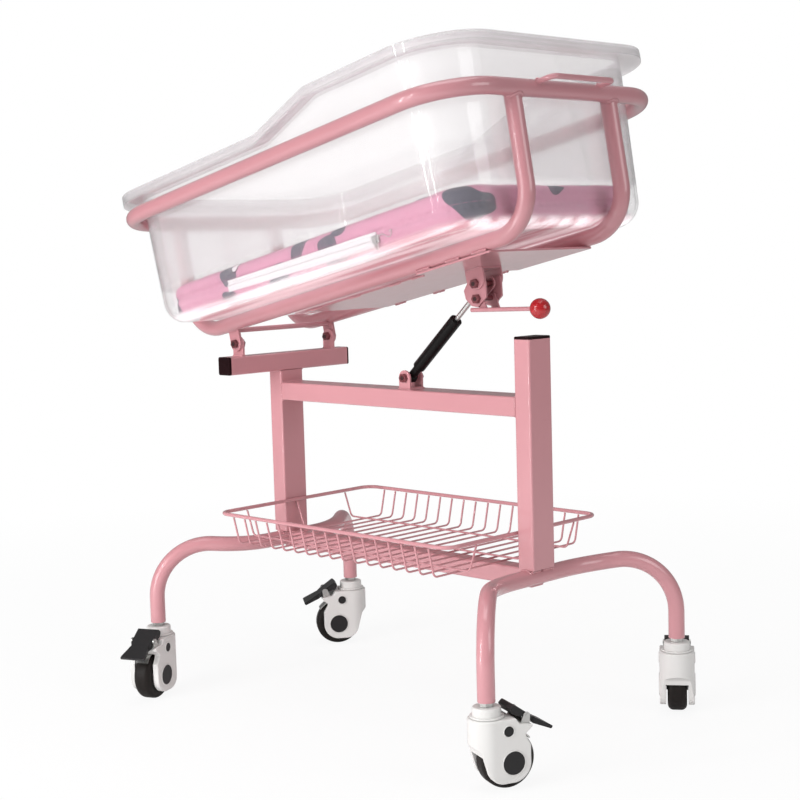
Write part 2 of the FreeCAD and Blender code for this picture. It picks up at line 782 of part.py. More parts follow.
def make_handle():
    handle = new_body("handle")
    path = sketch_on(handle, "handle_path", "XY_Plane", "grab_level")
    corners = [
        ("ring_head", "-grab_half"), ("grab_reach", "-grab_half"),
        ("grab_reach", "grab_half"), ("ring_head", "grab_half"),
    ]
    draw_outline(path, corners, "grab_bend", closed=False)
    section = sketch_on(handle, "handle_section", "YZ_Plane", "ring_head")
    draw_circle(section, "grab_rod / 2", "-grab_half", "grab_level")
    pipe(handle, section, path)
    saddle = sketch_on(handle, "handle_saddles", "XZ_Plane")
    draw_circle(saddle, "tube / 2 + weld_gap", "ring_head", "ring_level")
    cut_through(handle, saddle)
    sub_part(handle, "push_handle", cradle)


# ---------------------------------------------------------------- gas spring and its lever


def spring_line():
    """Where the gas spring starts, how long it is and how steeply it stands."""
    low = Vector(size("spring_x"), 0, size("spring_level"))
    across = in_cradle("anchor_x", "anchor_z") - low
    steep = math.degrees(math.atan2(across.z, across.x))
    placing = FreeCAD.Placement(low, FreeCAD.Rotation(Vector(0, -1, 0), steep))
    return placing, across.Length


def make_spring_clevis():
    base = "crossbar_top + weld_gap"
    body = new_body("clevis")
    side = sketch_on(body, "clevis_side", "XZ_Plane")
    half = "clevis_long / 2"
    top = f"spring_level + {half}"
    corners = rectangle(f"-{half}", half, base, top)
    draw_outline(side, corners, ["0", "0", f"{half} - 0.01", f"{half} - 0.01"])
    pad(body, side, "clevis_broad", midplane=True)
    gap = sketch_on(body, "clevis_gap", "YZ_Plane")
    inner = "clevis_broad / 2 - plate_thick"
    draw_outline(gap, rectangle(f"-({inner})", inner, f"{base} + plate_thick", f"{top} + 1"))
    cut_through(body, gap)
    drill(body, "XZ_Plane", "clevis_hole", "bolt / 2 + weld_gap", "0", "spring_level")
    stand_at(body, "spring_x")
    sub_part(body, "spring_clevis")

    face = "clevis_broad / 2 + weld_gap"
    pieces = bolt_and_nut("clevis_pin", "0", "0", face, face)
    pins = group("clevis_pin_set", pieces)
    stand_at(pins, "spring_x", "0", "spring_level")
    sub_part(pins, "clevis_bolt")


def make_gas_spring():
    frame, reach = spring_line()
    body = new_body("cylinder")
    eye = sketch_on(body, "cylinder_eye", "XZ_Plane")
    draw_circle(eye, "spring_neck / 2 + 1.5")
    pad(body, eye, "eye_broad", midplane=True)
    side = sketch_on(body, "cylinder_side", "XZ_Plane")
    neck, shell = "spring_neck / 2", "spring_body / 2"
    bore = "bolt / 2 + weld_gap"
    corners = [
        ("spring_neck / 2", "0"), ("spring_neck / 2", neck), ("neck_long", neck),
        ("neck_long", shell), ("spring_long", shell), ("spring_long", bore),
        ("spring_long - gland", bore), ("spring_long - gland", f"{shell} - spring_shell"),
        ("neck_long + gland", f"{shell} - spring_shell"), ("neck_long + gland", "0"),
    ]
    bends = ["0", "0", "0", "1.5", "1.5", "0", "0", "0", "0", "0"]
    draw_outline(side, corners, bends)
    revolve(body, side)
    drill(body, "XZ_Plane", "cylinder_hole", "bolt / 2 + pin_play", "0", "0")
    sub_part(body, "gas_cylinder", frame)

    base = reach - size("end_back")
    rod = new_body("spring_rod")
    side = sketch_on(rod, "rod_side", "XZ_Plane")
    piston = "spring_body / 2 - spring_shell - weld_gap"
    tip = f"{base} + 2.5 * plate_thick"
    corners = [
        ("piston_at", "0"), ("piston_at", piston), ("piston_at + piston", piston),
        ("piston_at + piston", "bolt / 2"), (tip, "bolt / 2"), (tip, "0"),
    ]
    draw_outline(side, corners)
    revolve(rod, side)
    sub_part(rod, "gas_rod", frame)

    nut = primitive(
        "Prism", "rod_nut_blank",
        {"Circumradius": "head_across / 1.7320508", "Height": "nut_high"},
        (f"{base} - nut_high - weld_gap", "0", "0"), Vector(0, 1, 0), 90,
    )
    nut.Polygon = 6
    thread = primitive(
        "Cylinder", "rod_nut_thread", {"Radius": "bolt / 2 + weld_gap", "Height": "nut_high"},
        (f"{base} - nut_high - weld_gap", "0", "0"), Vector(0, 1, 0), 90,
    )
    sub_part(cut_from("rod_nut_set", nut, thread), "rod_nut", frame)

    end = new_body("rod_end")
    side = sketch_on(end, "rod_end_side", "XZ_Plane")
    turn = "end_round"
    corners = rectangle(f"{base}", f"{reach} + {turn}", f"-{turn}", turn)
    draw_outline(side, corners, ["1", f"{turn} - 0.01", f"{turn} - 0.01", "1"])
    pad(end, side, "2 * end_half", midplane=True)
    gap = sketch_on(end, "rod_end_gap", "XY_Plane")
    inner = "end_half - plate_thick"
    inside = rectangle(f"{base} + plate_thick", f"{reach} + {turn} + 1", f"-({inner})", inner)
    draw_outline(gap, inside)
    cut_through(end, gap)
    drill(end, "XZ_Plane", "rod_end_hole", "bolt / 2 + end_slack", f"{reach}", "0")
    drill(end, "YZ_Plane", "rod_end_bore", "bolt / 2 + weld_gap", "0", "0")
    sub_part(end, "rod_end", frame)


def make_bracket():
    """The U of sheet under the support plate, and the lever's cheeks inside it."""
    top = "hoop_level - tube / 2 - plate_thick - 2 * weld_gap"
    middle = "(anchor_x + 1)"
    half = "strap_width / 2"
    body = new_body("bracket")
    side = sketch_on(body, "bracket_side", "XZ_Plane")
    corners = rectangle(f"{middle} - {half}", f"{middle} + {half}", "-strap_drop", top)
    draw_outline(side, corners, [f"{half} - 0.01", f"{half} - 0.01", "0", "0"])
    pad(body, side, "2 * strap_half", midplane=True)
    gap = sketch_on(body, "bracket_gap", "YZ_Plane")
    inner = "strap_half - plate_thick"
    low = "-strap_drop - 1"
    draw_outline(gap, rectangle(f"-({inner})", inner, low, f"{top} - plate_thick"))
    cut_through(body, gap)
    drill(body, "XZ_Plane", "bracket_hole", "bolt / 2 + weld_gap", "anchor_x", "anchor_z")
    sub_part(body, "upper_bracket", cradle)

    face = "strap_half + weld_gap"
    pieces = bolt_and_nut("anchor", "anchor_x", "anchor_z", face, face)
    sub_part(group("anchor_set", pieces), "bracket_bolt", cradle)

    outer = f"{inner} - weld_gap"
    cheek_corners = [
        ("anchor_x - 28", "anchor_z - 5"), ("anchor_x - 15", "anchor_z + 8"),
        ("anchor_x + 17", "anchor_z + 8"), ("anchor_x + 17", "anchor_z - 4"),
        ("lever_x + 18.5", "lever_z - 1"), ("lever_x - 2", "lever_z - 12.5"),
        ("lever_x - 13", "lever_z - 8.5"), ("lever_x - 22.5", "lever_z + 4"),
    ]
    cheek = plate("cheek", "XZ_Plane", cheek_corners, "1.5", "plate_thick", f"{outer} - plate_thick")
    drill(cheek, "XZ_Plane", "cheek_upper", "bolt / 2 + weld_gap", "anchor_x", "anchor_z")
    drill(cheek, "XZ_Plane", "cheek_lower", "bolt / 2 + pin_play", "lever_x", "lever_z")
    far_cheek = across_middle("far_cheek", cheek)
    sub_part(group("cheeks", [cheek, far_cheek]), "lever_cheeks", cradle)


def make_release_lever():
    """Two cheeks and a web folded from sheet, the pivot bolt, a rod and its knob."""
    pivot = in_cradle("lever_x", "lever_z")
    turn = FreeCAD.Rotation(Vector(0, -1, 0), size("lever_slope"))
    frame = FreeCAD.Placement(pivot, turn)
    inner = "strap_half - 2 * plate_thick - weld_gap - play"
    web_low = "-lever_drop - lever_rod / 2"
    sides = [("-7", "6"), ("6", "8"), ("17", web_low), ("2", web_low)]
    body = new_body("lever_sides")
    outline = sketch_on(body, "lever_outline", "XZ_Plane")
    draw_outline(outline, sides, ["4", "4", "2", "2"])
    pad(body, outline, f"2 * ({inner})", midplane=True)
    gap = sketch_on(body, "lever_gap", "YZ_Plane")
    room = f"{inner} - plate_thick"
    draw_outline(gap, rectangle(f"-({room})", room, f"{web_low} + plate_thick", "12"))
    cut_through(body, gap)
    drill(body, "XZ_Plane", "lever_hole", "bolt / 2 + weld_gap", "0", "0")
    web = primitive(
        "Box", "lever_web",
        {"Length": "12", "Width": f"lever_rod_y - ({inner}) + 1", "Height": "plate_thick"},
        ("4", "-lever_rod_y", web_low),
    )
    rod = primitive(
        "Cylinder", "lever_handle",
        {"Radius": "lever_rod / 2", "Height": "lever_reach + 3"},
        ("-3", "-lever_rod_y", "-lever_drop"), Vector(0, 1, 0), 90,
    )
    sub_part(joined("lever_set", [body, web, rod]), "release_lever", frame)

    ball = primitive(
        "Sphere", "ball", {"Radius": "knob / 2"}, ("lever_reach", "-lever_rod_y", "-lever_drop")
    )
    socket = primitive(
        "Cylinder", "knob_socket",
        {"Radius": "lever_rod / 2 + weld_gap", "Height": "knob"},
        ("lever_reach - knob", "-lever_rod_y", "-lever_drop"), Vector(0, 1, 0), 90,
    )
    sub_part(cut_from("knob_set", ball, socket), "lever_knob", frame)

    face = "strap_half - plate_thick"
    pieces = bolt_and_nut("lever_pin", "0", "0", face, face)
    sub_part(group("lever_pin_set", pieces), "lever_bolt", frame)


# ---------------------------------------------------------------- tub and mattress


def round_floor(name, block, level, radius, side_corners, end_radius):
    """Round a block's lower edges, and once more in side view at its two ends."""
    doc.recompute()
    low, reach = size(level), size(radius)
    rounded = doc.addObject("Part::Fillet", name + "_rounded")
    rounded.Base = block
    rounded.Edges = [
        (i, reach, reach)
        for i, edge in enumerate(block.Shape.Edges, start=1)
        if all(abs(v.Z - low) < 1e-4 for v in edge.Vertexes)
    ]
    bends = [end_radius, end_radius, "0", "0"]
    side = plate(
        name + "_side", "XZ_Plane", side_corners, bends, "2 * rim_half + 40", midplane=True
    )
    return common(name, rounded, side)


def basin(name, inset, floor):
    """The tub's body as a solid: two rounded outlines lofted, with a rounded floor."""
    outlines = []
    for part, level in (("tub", floor), ("top", "tub_top")):
        outline = doc.addObject("Sketcher::SketchObject", f"{name}_{part}_outline")
        half = f"{part}_half - {inset}"
        corners = rectangle(f"{part}_foot + {inset}", f"{part}_head - {inset}", f"-({half})", half)
        draw_outline(outline, corners, f"{part}_bend - {inset}")
        outline.setExpression(".Placement.Base.z", bound(level))
        outlines.append(outline)
    loft = doc.addObject("Part::Loft", name + "_loft")
    loft.Sections = outlines
    loft.Solid = True
    loft.Ruled = True
    side = [
        (f"tub_foot + {inset}", floor), (f"tub_head - {inset}", floor),
        (f"top_head - {inset}", "tub_top"), (f"top_foot + {inset}", "tub_top"),
    ]
    return round_floor(
        name, loft, floor, f"side_round - {inset}", side, f"end_round_tub - {inset}"
    )


def rim_strip(name, below_top, bottom=None):
    """A slab across the tub whose upper face follows the rim, climbing at the ramp."""
    low, high = f"low_rim - {below_top}", f"high_rim - {below_top}"
    foot, head = "rim_foot - 20", "rim_head + 20"
    top = [(head, high), ("ramp_end", high), ("ramp_start", low), (foot, low)]
    if bottom is None:
        under = [(foot, "0"), (head, "0")]
        bends = ["0", "ramp_round", "ramp_round", "0", "0", "0"]
    else:
        low_under, high_under = f"low_rim - {bottom}", f"high_rim - {bottom}"
        under = [
            (foot, low_under), ("ramp_start", low_under),
            ("ramp_end", high_under), (head, high_under),
        ]
        bends = ["0", "ramp_round", "ramp_round", "0", "0", "ramp_round", "ramp_round", "0"]
    return plate(name, "XZ_Plane", top + under, bends, "2 * rim_half + 40", midplane=True)


def rim_block(name, inset):
    half = f"rim_half - {inset}"
    corners = rectangle(f"rim_foot + {inset}", f"rim_head - {inset}", f"-({half})", half)
    return plate(
        name, "XY_Plane", corners, f"rim_corner - {inset}", "tub_top - tub_floor", "tub_floor"
    )


def make_tub():
    walls = common("tub_walls", basin("tub_outside", "0", "tub_floor"), rim_strip("under_rim", "0"))
    edge = common("rim_solid", rim_block("rim_outer", "0"), rim_strip("rim_depth", "0", "lip"))
    hollow = common(
        "rim_hollow", rim_block("rim_inner", "shell"), rim_strip("lip_depth", "shell", "lip + 5")
    )
    turned = cut_from("rim_turned", edge, hollow)
    whole = joined("tub_solid", [walls, turned])
    tub = cut_from("tub_shell", whole, basin("tub_inside", "shell", "tub_floor + shell"))
    sub_part(tub, "tub", cradle)


def make_mattress():
    floor = "tub_floor + shell + play"
    foot, head = "tub_foot + shell + pad_foot_gap", "tub_head - shell - pad_head_gap"
    half = "(tub_half - shell - pad_side_gap)"
    corners = rectangle(foot, head, f"-{half}", half)
    block = plate("pad_block", "XY_Plane", corners, "pad_bend", "pad_thick", floor)
    doc.recompute()
    base = block.Tip
    rounding = block.newObject("PartDesign::Fillet", "pad_top_edges")
    top = size(floor) + size("pad_thick")
    upper = [
        f"Edge{i + 1}"
        for i, edge in enumerate(base.Shape.Edges)
        if min(v.Z for v in edge.Vertexes) > top - 1e-4
    ]
    rounding.Base = (base, upper)
    rounding.setExpression("Radius", bound("pad_round"))
    side = rectangle(foot, head, floor, f"{floor} + pad_thick")
    pad_body = round_floor("pad_body", block, floor, "pad_side_round", side, "pad_end_round")
    sub_part(pad_body, "mattress", cradle)


# ---------------------------------------------------------------- casters


CASTERS = {
    "foot_near": (-1, -1, -66.5),
    "head_near": (1, -1, 68),
    "foot_far": (-1, 1, 233),
    "head_far": (1, 1, 125),
}


CAP_PLACES = (
    ("axle", "trail", "wheel / 2", "hub_cap / 2"),
    ("screw", "bolt_cap_x", "bolt_cap_z", "bolt_cap / 2"),
)


def caster_frame(side_x, side_y, heading):
    place = Vector(side_x * size("caster_x"), side_y * size("caster_y"), 0)
    return FreeCAD.Placement(place, FreeCAD.Rotation(UP, heading))


def round_edges(body, radius, wanted):
    """Round those edges of the body so far that the test picks out."""
    doc.recompute()
    base = body.Tip
    rounding = body.newObject("PartDesign::Fillet", base.Name + "_rounded")
    chosen = [i for i, edge in enumerate(base.Shape.Edges, start=1) if wanted(edge)]
    rounding.Base = (base, [f"Edge{i}" for i in chosen])
    rounding.setExpression("Radius", bound(radius))


def edge_middle(edge):
    return edge.valueAt((edge.FirstParameter + edge.LastParameter) / 2)


def make_hood(name, frame):
    """The moulded housing: side profile and plan, each with soft edges, and the well."""
    cheeks = new_body(name + "_cheeks")
    side = sketch_on(cheeks, name + "_side", "XZ_Plane")
    rear, axle_rear, front = "trail + hood_skirt + 6", "trail + hood_skirt", "-hood_half - 4"
    profile = [
        (front, "hood_top - 33"), ("trail - 44.7", "hood_top - 43"), ("trail - 31", "hood_low"),
        (axle_rear, "hood_low"), (axle_rear, "hood_top - 39"), ("trail + 18.5", "hood_top - 24"),
        (rear, "hood_top - 12"), ("pedal_x - 14", "hood_top - 8"), ("pedal_x - 20", "hood_top"),
        (front, "hood_top"),
    ]
    bends = ["0", "8", "23", "hood_skirt - 0.5", "6", "3", "hood_soft + 0.3", "4", "3", "0"]
    draw_outline(side, profile, bends)
    pad(cheeks, side, "2 * hood_half", midplane=True)
    flank = size("hood_half")
    round_edges(cheeks, "hood_soft", lambda edge: abs(edge_middle(edge).y) > flank - 1e-4)

    barrel = new_body(name + "_barrel")
    plan = sketch_on(barrel, name + "_plan", "XY_Plane", "hood_low - 1")
    shoulder = "-0.41421 * hood_half"
    corners = [
        ("-1.41421 * hood_half", "0"), (shoulder, "-hood_half"), (rear, "-hood_half"),
        (rear, "hood_half"), (shoulder, "hood_half"),
    ]
    bend = "hood_half - 0.5"
    draw_outline(plan, corners, [bend, bend, "7", "7", bend])
    pad(barrel, plan, "hood_top - hood_low + 1")
    crown = size("hood_top")
    round_edges(barrel, "hood_crown", lambda edge: edge_middle(edge).z > crown - 1e-4)

    solid = common(name + "_solid", cheeks, barrel)
    hollows = new_body(name + "_hollows")
    well = sketch_on(hollows, name + "_well", "XZ_Plane")
    draw_circle(well, "wheel / 2 + well_gap", "trail", "wheel / 2")
    pad(hollows, well, "2 * well_half", midplane=True)
    bore = sketch_on(hollows, name + "_axle_bore", "XZ_Plane")
    draw_circle(bore, "bolt / 2 + weld_gap", "trail", "wheel / 2")
    pad(hollows, bore, "2 * hood_half + 2", midplane=True)
    for hole, x, z, radius in CAP_PLACES:
        for side_name, offset in (("near", "hood_half - cap_sink"), ("far", "-hood_half - 1")):
            recess = sketch_on(hollows, f"{name}_{hole}_{side_name}", "XZ_Plane", offset)
            draw_circle(recess, f"{radius} + weld_gap", x, z)
            pad(hollows, recess, "cap_sink + 1")
    stem_bore = sketch_on(hollows, name + "_stem_bore", "XY_Plane", "stem_low - 1")
    draw_circle(stem_bore, "stem / 2 + pin_play")
    pad(hollows, stem_bore, "hood_top - stem_low + 2")
    sub_part(cut_from(name + "_shell", solid, hollows), name + "_housing", frame)


def make_caster_caps(name, frame):
    caps = []
    for cap, x, z, radius in CAP_PLACES:
        for side, start in (
            ("near", "-hood_half - cap_proud"),
            ("far", "hood_half - cap_sink"),
        ):
            caps.append(
                rod_along_y(
                    f"{name}_{cap}_{side}_cap", radius, "cap_proud + cap_sink", (x, start, z)
                )
            )
    sub_part(group(name + "_cap_set", caps), name + "_caps", frame)


def make_wheel(name, frame):
    body = new_body(name + "_rubber")
    side = sketch_on(body, name + "_rubber_half", "YZ_Plane")
    half, tread, bead = "tyre_broad / 2", "wheel / 2", "wheel_hub / 2 + weld_gap"
    corners = rectangle(f"-{half}", half, bead, tread)
    draw_outline(side, corners, ["0", "0", "tyre_round", "tyre_round"])
    revolve(body, side)
    sub_part(body, name + "_tyre", frame * axle_frame())

    hub = new_body(name + "_centre")
    side = sketch_on(hub, name + "_centre_half", "YZ_Plane")
    boss, web = "well_half - 0.7", "tyre_broad / 2 - 6"
    corners = [
        (f"-({boss})", "bolt / 2 + pin_play"), (boss, "bolt / 2 + pin_play"), (boss, "9"),
        (web, "9"), (web, "wheel_hub / 2 - 4"), (f"{half} - 1", "wheel_hub / 2 - 4"),
        (f"{half} - 1", "wheel_hub / 2"), (f"-({half} - 1)", "wheel_hub / 2"),
        (f"-({half} - 1)", "wheel_hub / 2 - 4"), (f"-({web})", "wheel_hub / 2 - 4"),
        (f"-({web})", "9"), (f"-({boss})", "9"),
    ]
    draw_outline(side, corners)
    revolve(hub, side)
    sub_part(hub, name + "_wheel_centre", frame * axle_frame())


def axle_frame():
    return FreeCAD.Placement(Vector(size("trail"), 0, size("wheel / 2")), FreeCAD.Rotation())


def brake_shoe(name):
    """A strip of steel bent round the back of the tyre, just clear of it."""
    rings = []
    for ring, gap in (("outer", "shoe_gap + shoe_thick"), ("inner", "shoe_gap")):
        rings.append(
            primitive(
                "Cylinder", f"{name}_shoe_{ring}",
                {"Radius": f"wheel / 2 + {gap}", "Height": "2 * shoe_half"},
                ("trail", "shoe_half", "wheel / 2"), Vector(1, 0, 0), 90,
            )
        )
    rings[0].Placement = FreeCAD.Placement(
        rings[0].Placement.Base,
        FreeCAD.Rotation(Vector(0, -1, 0), 38) * FreeCAD.Rotation(Vector(1, 0, 0), 90),
    )
    for letter, expression in zip("xyz", ("trail", "shoe_half", "wheel / 2")):
        rings[0].setExpression(f".Placement.Base.{letter}", bound(expression))
    rings[0].Angle = 34
    return cut_from(name + "_shoe", *rings)


def above_slope(x, gap):
    """Height over the housing's rear slope, which falls from behind the swivel cap."""
    return f"hood_top - 8 - ({x} - pedal_x + 14) * 4 / (trail + hood_skirt + 20 - pedal_x) + {gap}"


def make_brake(name, frame):
    """The steel ears on the housing's slope with pin and axle, and the moulded pedal."""
    ears = new_body(name + "_ears")
    side = sketch_on(ears, name + "_ear_side", "XZ_Plane")
    foot_a, foot_b = "pedal_x - 10", "pedal_x + 3"
    corners = [
        (foot_a, above_slope(foot_a, "weld_gap")), (foot_b, above_slope(foot_b, "weld_gap")),
        ("pedal_x + 4.6", "pedal_z + 4.6"), ("pedal_x - 4.6", "pedal_z + 4.6"),
    ]
    draw_outline(side, corners, ["0", "0", "4", "4"])
    pad(ears, side, "2 * ear_half", midplane=True)
    gap = sketch_on(ears, name + "_ear_gap", "XZ_Plane")
    gap_a, gap_b = "pedal_x - 20", "pedal_x + 13"
    corners = [
        (gap_a, above_slope(gap_a, "ear_thick")), (gap_b, above_slope(gap_b, "ear_thick")),
        (gap_b, "pedal_z + 10"), (gap_a, "pedal_z + 10"),
    ]
    draw_outline(gap, corners)
    cut_depth(ears, gap, "2 * (ear_half - ear_thick)", midplane=True)
    drill(ears, "XZ_Plane", name + "_ear_hole", "pedal_pin / 2 + weld_gap", "pedal_x", "pedal_z")
    pin = rod_along_y(
        name + "_pedal_pin", "pedal_pin / 2", "2 * ear_half + 1",
        ("pedal_x", "-ear_half - 0.5", "pedal_z"),
    )
    axle = rod_along_y(
        name + "_axle", "bolt / 2", "2 * (hood_half - cap_sink - weld_gap)",
        ("trail", "-hood_half + cap_sink + weld_gap", "wheel / 2"),
    )
    steel = group(name + "_steel_set", [ears, pin, axle, brake_shoe(name)])
    sub_part(steel, name + "_axle_and_bracket", frame)

    pedal = new_body(name + "_lever")
    side = sketch_on(pedal, name + "_pedal_side", "XZ_Plane")
    corners = [
        ("pedal_x - 24", "pedal_z + 11"), ("pedal_x - 18", "pedal_z + 16.5"),
        ("pedal_x + 12", "pedal_z - 5"), ("pedal_x + 39", "pedal_z - 20"),
        ("pedal_x + 36", "pedal_z - 23.5"), ("pedal_x + 11", "pedal_z - 14"),
        ("pedal_x + 2", "pedal_z - 5"), ("pedal_x - 21", "pedal_z + 3.5"),
    ]
    draw_outline(side, corners, ["2", "2.5", "6", "1.5", "1.5", "4", "3", "2"])
    pad(pedal, side, "2 * pedal_half", midplane=True)
    waist = sketch_on(pedal, name + "_pedal_waist", "XY_Plane", "pedal_z - 30")
    narrow = "ear_half - ear_thick - play"
    for sign in ("", "-"):
        edge, neck = f"{sign}({narrow})", f"{sign}pedal_neck"
        tip, far = f"{sign}pedal_half", f"{sign}(pedal_half + 4)"
        corners = [
            ("pedal_x - 30", edge), ("pedal_x + 7", edge), ("pedal_x + 11", neck),
            ("pedal_x + 34", tip), ("pedal_x + 34", far), ("pedal_x - 30", far),
        ]
        draw_outline(waist, corners)
    cut_depth(pedal, waist, "60", reverse=True)
    drill(
        pedal, "XZ_Plane", name + "_pedal_hole", "pedal_pin / 2 + pin_play", "pedal_x", "pedal_z"
    )
    sub_part(pedal, name + "_pedal", frame)


def make_casters():
    collars, stems = [], []
    for name, (side_x, side_y, heading) in CASTERS.items():
        frame = caster_frame(side_x, side_y, heading)
        make_hood(name, frame)
        make_caster_caps(name, frame)
        make_wheel(name, frame)
        make_brake(name, frame)
        collars.append(swivel_collar(name + "_collar", frame))
        stems.append(caster_stem(name + "_stem", frame))
    sub_part(group("collar_set", collars), "swivel_caps")
    sub_part(group("stem_set", stems), "caster_stems")


def swivel_collar(name, frame):
    body = new_body(name)
    half = sketch_on(body, name + "_half", "XZ_Plane")
    low, hole = "hood_top + play", "stem / 2 + weld_gap"
    corners = [
        (hole, low), ("collar_flange / 2", low), ("collar_flange / 2", f"{low} + flange_high"),
        ("collar / 2", f"{low} + flange_high"), ("collar / 2", "collar_top"),
        (hole, "collar_top"),
    ]
    draw_outline(half, corners, ["0", "1", "1", "0", "2.5", "0"])
    revolve(body, half, "V_Axis")
    body.Placement = frame
    return body


def caster_stem(name, frame):
    """Threaded stem with its nut, and the plug that grips inside the leg."""
    body = new_body(name)
    half = sketch_on(body, name + "_half", "XZ_Plane")
    plug = "tube / 2 - tube_wall - weld_gap"
    plug_low, plug_high = "leg_end + 1", "leg_end + 30"
    corners = [
        ("0", "stem_low"), ("stem / 2", "stem_low"), ("stem / 2", plug_low),
        (plug, plug_low), (plug, plug_high), ("0", plug_high),
    ]
    draw_outline(half, corners, ["0", "1", "0", "0", "1", "0"])
    revolve(body, half, "V_Axis")
    nut = primitive(
        "Prism", name + "_nut_blank",
        {"Circumradius": "stem_nut_across / 1.7320508", "Height": "stem_nut"},
        ("0", "0", "leg_end - stem_nut - weld_gap"),
    )
    nut.Polygon = 6
    whole = joined(name + "_set", [body, nut])
    whole.Placement = frame
    return whole


# ---------------------------------------------------------------- build, check, write


def check_and_write():
    doc.recompute()
    faults = []
    for made in doc.Objects:
        if {"Invalid", "Error"} & set(made.State):
            faults.append(f"{made.Name}: {made.State}")
    for made in sub_parts:
        if made.Shape.isNull() or not made.Shape.isValid() or not made.Shape.Solids:
            faults.append(f"{made.Label}: no valid solid")
    if faults:
        raise RuntimeError("; ".join(faults))
    os.makedirs("parts", exist_ok=True)
    for made in sub_parts:
        made.Shape.exportStep(f"parts/{made.Label}.step")
    print(len(sub_parts), "sub-parts written")


make_stand()
make_foot("foot_head", 1)
make_foot("foot_foot", -1)
make_basket()
make_ring()
make_hoop("under_tube_near", "-hoop_offset")
make_hoop("under_tube_far", "hoop_offset")
make_support_plate()
make_hinge()
make_handle()
make_spring_clevis()
make_gas_spring()
make_bracket()
make_release_lever()
make_tub()
make_mattress()
make_casters()
check_and_write()
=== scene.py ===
import bmesh
import bpy
import math
from mathutils import Matrix, Vector
from mathutils.bvhtree import BVHTree


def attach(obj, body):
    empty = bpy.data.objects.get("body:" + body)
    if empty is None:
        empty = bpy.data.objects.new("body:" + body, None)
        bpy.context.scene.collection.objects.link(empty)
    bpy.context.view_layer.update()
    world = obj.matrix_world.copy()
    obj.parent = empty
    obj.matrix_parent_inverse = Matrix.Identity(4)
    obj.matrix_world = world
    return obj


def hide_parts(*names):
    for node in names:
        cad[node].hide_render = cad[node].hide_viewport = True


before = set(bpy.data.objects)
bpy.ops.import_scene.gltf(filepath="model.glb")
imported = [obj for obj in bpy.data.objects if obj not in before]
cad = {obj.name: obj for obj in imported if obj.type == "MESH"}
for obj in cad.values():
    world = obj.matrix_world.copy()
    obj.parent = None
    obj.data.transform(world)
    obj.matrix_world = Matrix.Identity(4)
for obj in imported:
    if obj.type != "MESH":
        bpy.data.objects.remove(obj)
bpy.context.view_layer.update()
scene = bpy.context.scene

# --- Studio ------------------------------------------------------------------
# A long lens at the height of the tub's floor looks at the head end's corner. Wide soft
# lamps stand in front, overhead and behind, two narrow ones draw bright streaks on the
# tub, and the white room fills the rest.

CAMERA_AT = Vector((1.77156, -1.78173, 0.7441))
CAMERA_YAW, CAMERA_PITCH, CAMERA_ROLL = (math.radians(a) for a in (44.86, 5.68, -1.66))
LENS_MM, FILM_MM = 71.30, 36.0
NEAREST_SEEN, FARTHEST_SEEN = 0.05, 100.0
LAMPS = (  # name, place, width and height, power
    ("key", (0.1, -3.0, 1.5), (1.5, 1.5), 42.0),
    ("strip_a", (-0.75, -2.5, 0.85), (0.09, 1.7), 20.0),
    ("strip_b", (-0.10, -2.7, 0.85), (0.06, 1.7), 11.0),
    ("fill", (2.9, 0.4, 1.5), (1.4, 1.4), 19.0),
    ("top", (0.1, -0.2, 3.0), (1.8, 1.8), 27.0),
    ("bounce", (0.9, -1.5, 0.06), (1.6, 0.7), 5.0),
    ("back", (-1.8, 2.6, 1.7), (1.8, 1.8), 12.0),
)
LAMPS_AIM = Vector((0, 0, 0.6))
UNREFLECTED, UNREFRACTED = ("key", "bounce", "back"), ("back",)
ROOM_LIGHT = 0.26
FLOOR_REACH, FLOOR_WHITE, FLOOR_ROUGHNESS = 40.0, 0.93, 0.9
FADE_START, FADE_END, FADE_LEAST = 0.5, 2.2, 0.90
WHITE = (1, 1, 1, 1)


def in_scene(name, data):
    """An object that puts a mesh, a curve, a lamp or a camera in the scene."""
    holder = bpy.data.objects.new(name, data)
    scene.collection.objects.link(holder)
    return holder


def make_camera():
    yaw, pitch, roll = CAMERA_YAW, CAMERA_PITCH, CAMERA_ROLL
    back = Vector(
        (math.sin(yaw) * math.cos(pitch), -math.cos(yaw) * math.cos(pitch), math.sin(pitch))
    )
    level = Vector((math.cos(yaw), math.sin(yaw), 0))
    above = level.cross(-back)
    right = math.cos(roll) * level + math.sin(roll) * above
    up = math.cos(roll) * above - math.sin(roll) * level
    turn = Matrix((right, up, back)).transposed().to_4x4()
    lens = bpy.data.cameras.new("camera")
    lens.lens, lens.sensor_width = LENS_MM, FILM_MM
    lens.clip_start, lens.clip_end = NEAREST_SEEN, FARTHEST_SEEN
    camera = in_scene("camera", lens)
    camera.matrix_world = Matrix.Translation(CAMERA_AT) @ turn
    scene.camera = camera


def make_lamp(name, at, size, power):
    lamp = bpy.data.lights.new(name, "AREA")
    lamp.shape, lamp.energy = "RECTANGLE", power
    lamp.size, lamp.size_y = size
    holder = in_scene(name, lamp)
    holder.location = at
    holder.rotation_euler = (LAMPS_AIM - Vector(at)).to_track_quat("-Z", "Y").to_euler()
    holder.visible_camera = False
    holder.visible_glossy = name not in UNREFLECTED
    holder.visible_transmission = name not in UNREFRACTED


def node(tree, kind, inputs=None, **settings):
    """Adds one node, sets its properties, and fills or links its inputs."""
    made = tree.nodes.new(kind)
    for key, value in settings.items():
        setattr(made, key, value)
    for key, value in (inputs or {}).items():
        if isinstance(value, bpy.types.NodeSocket):
            tree.links.new(value, made.inputs[key])
        else:
            made.inputs[key].default_value = value
    return made


def math_node(tree, operation, first, second=0.0, third=0.0):
    values = {0: first, 1: second, 2: third}
    return node(tree, "ShaderNodeMath", values, operation=operation).outputs[0]


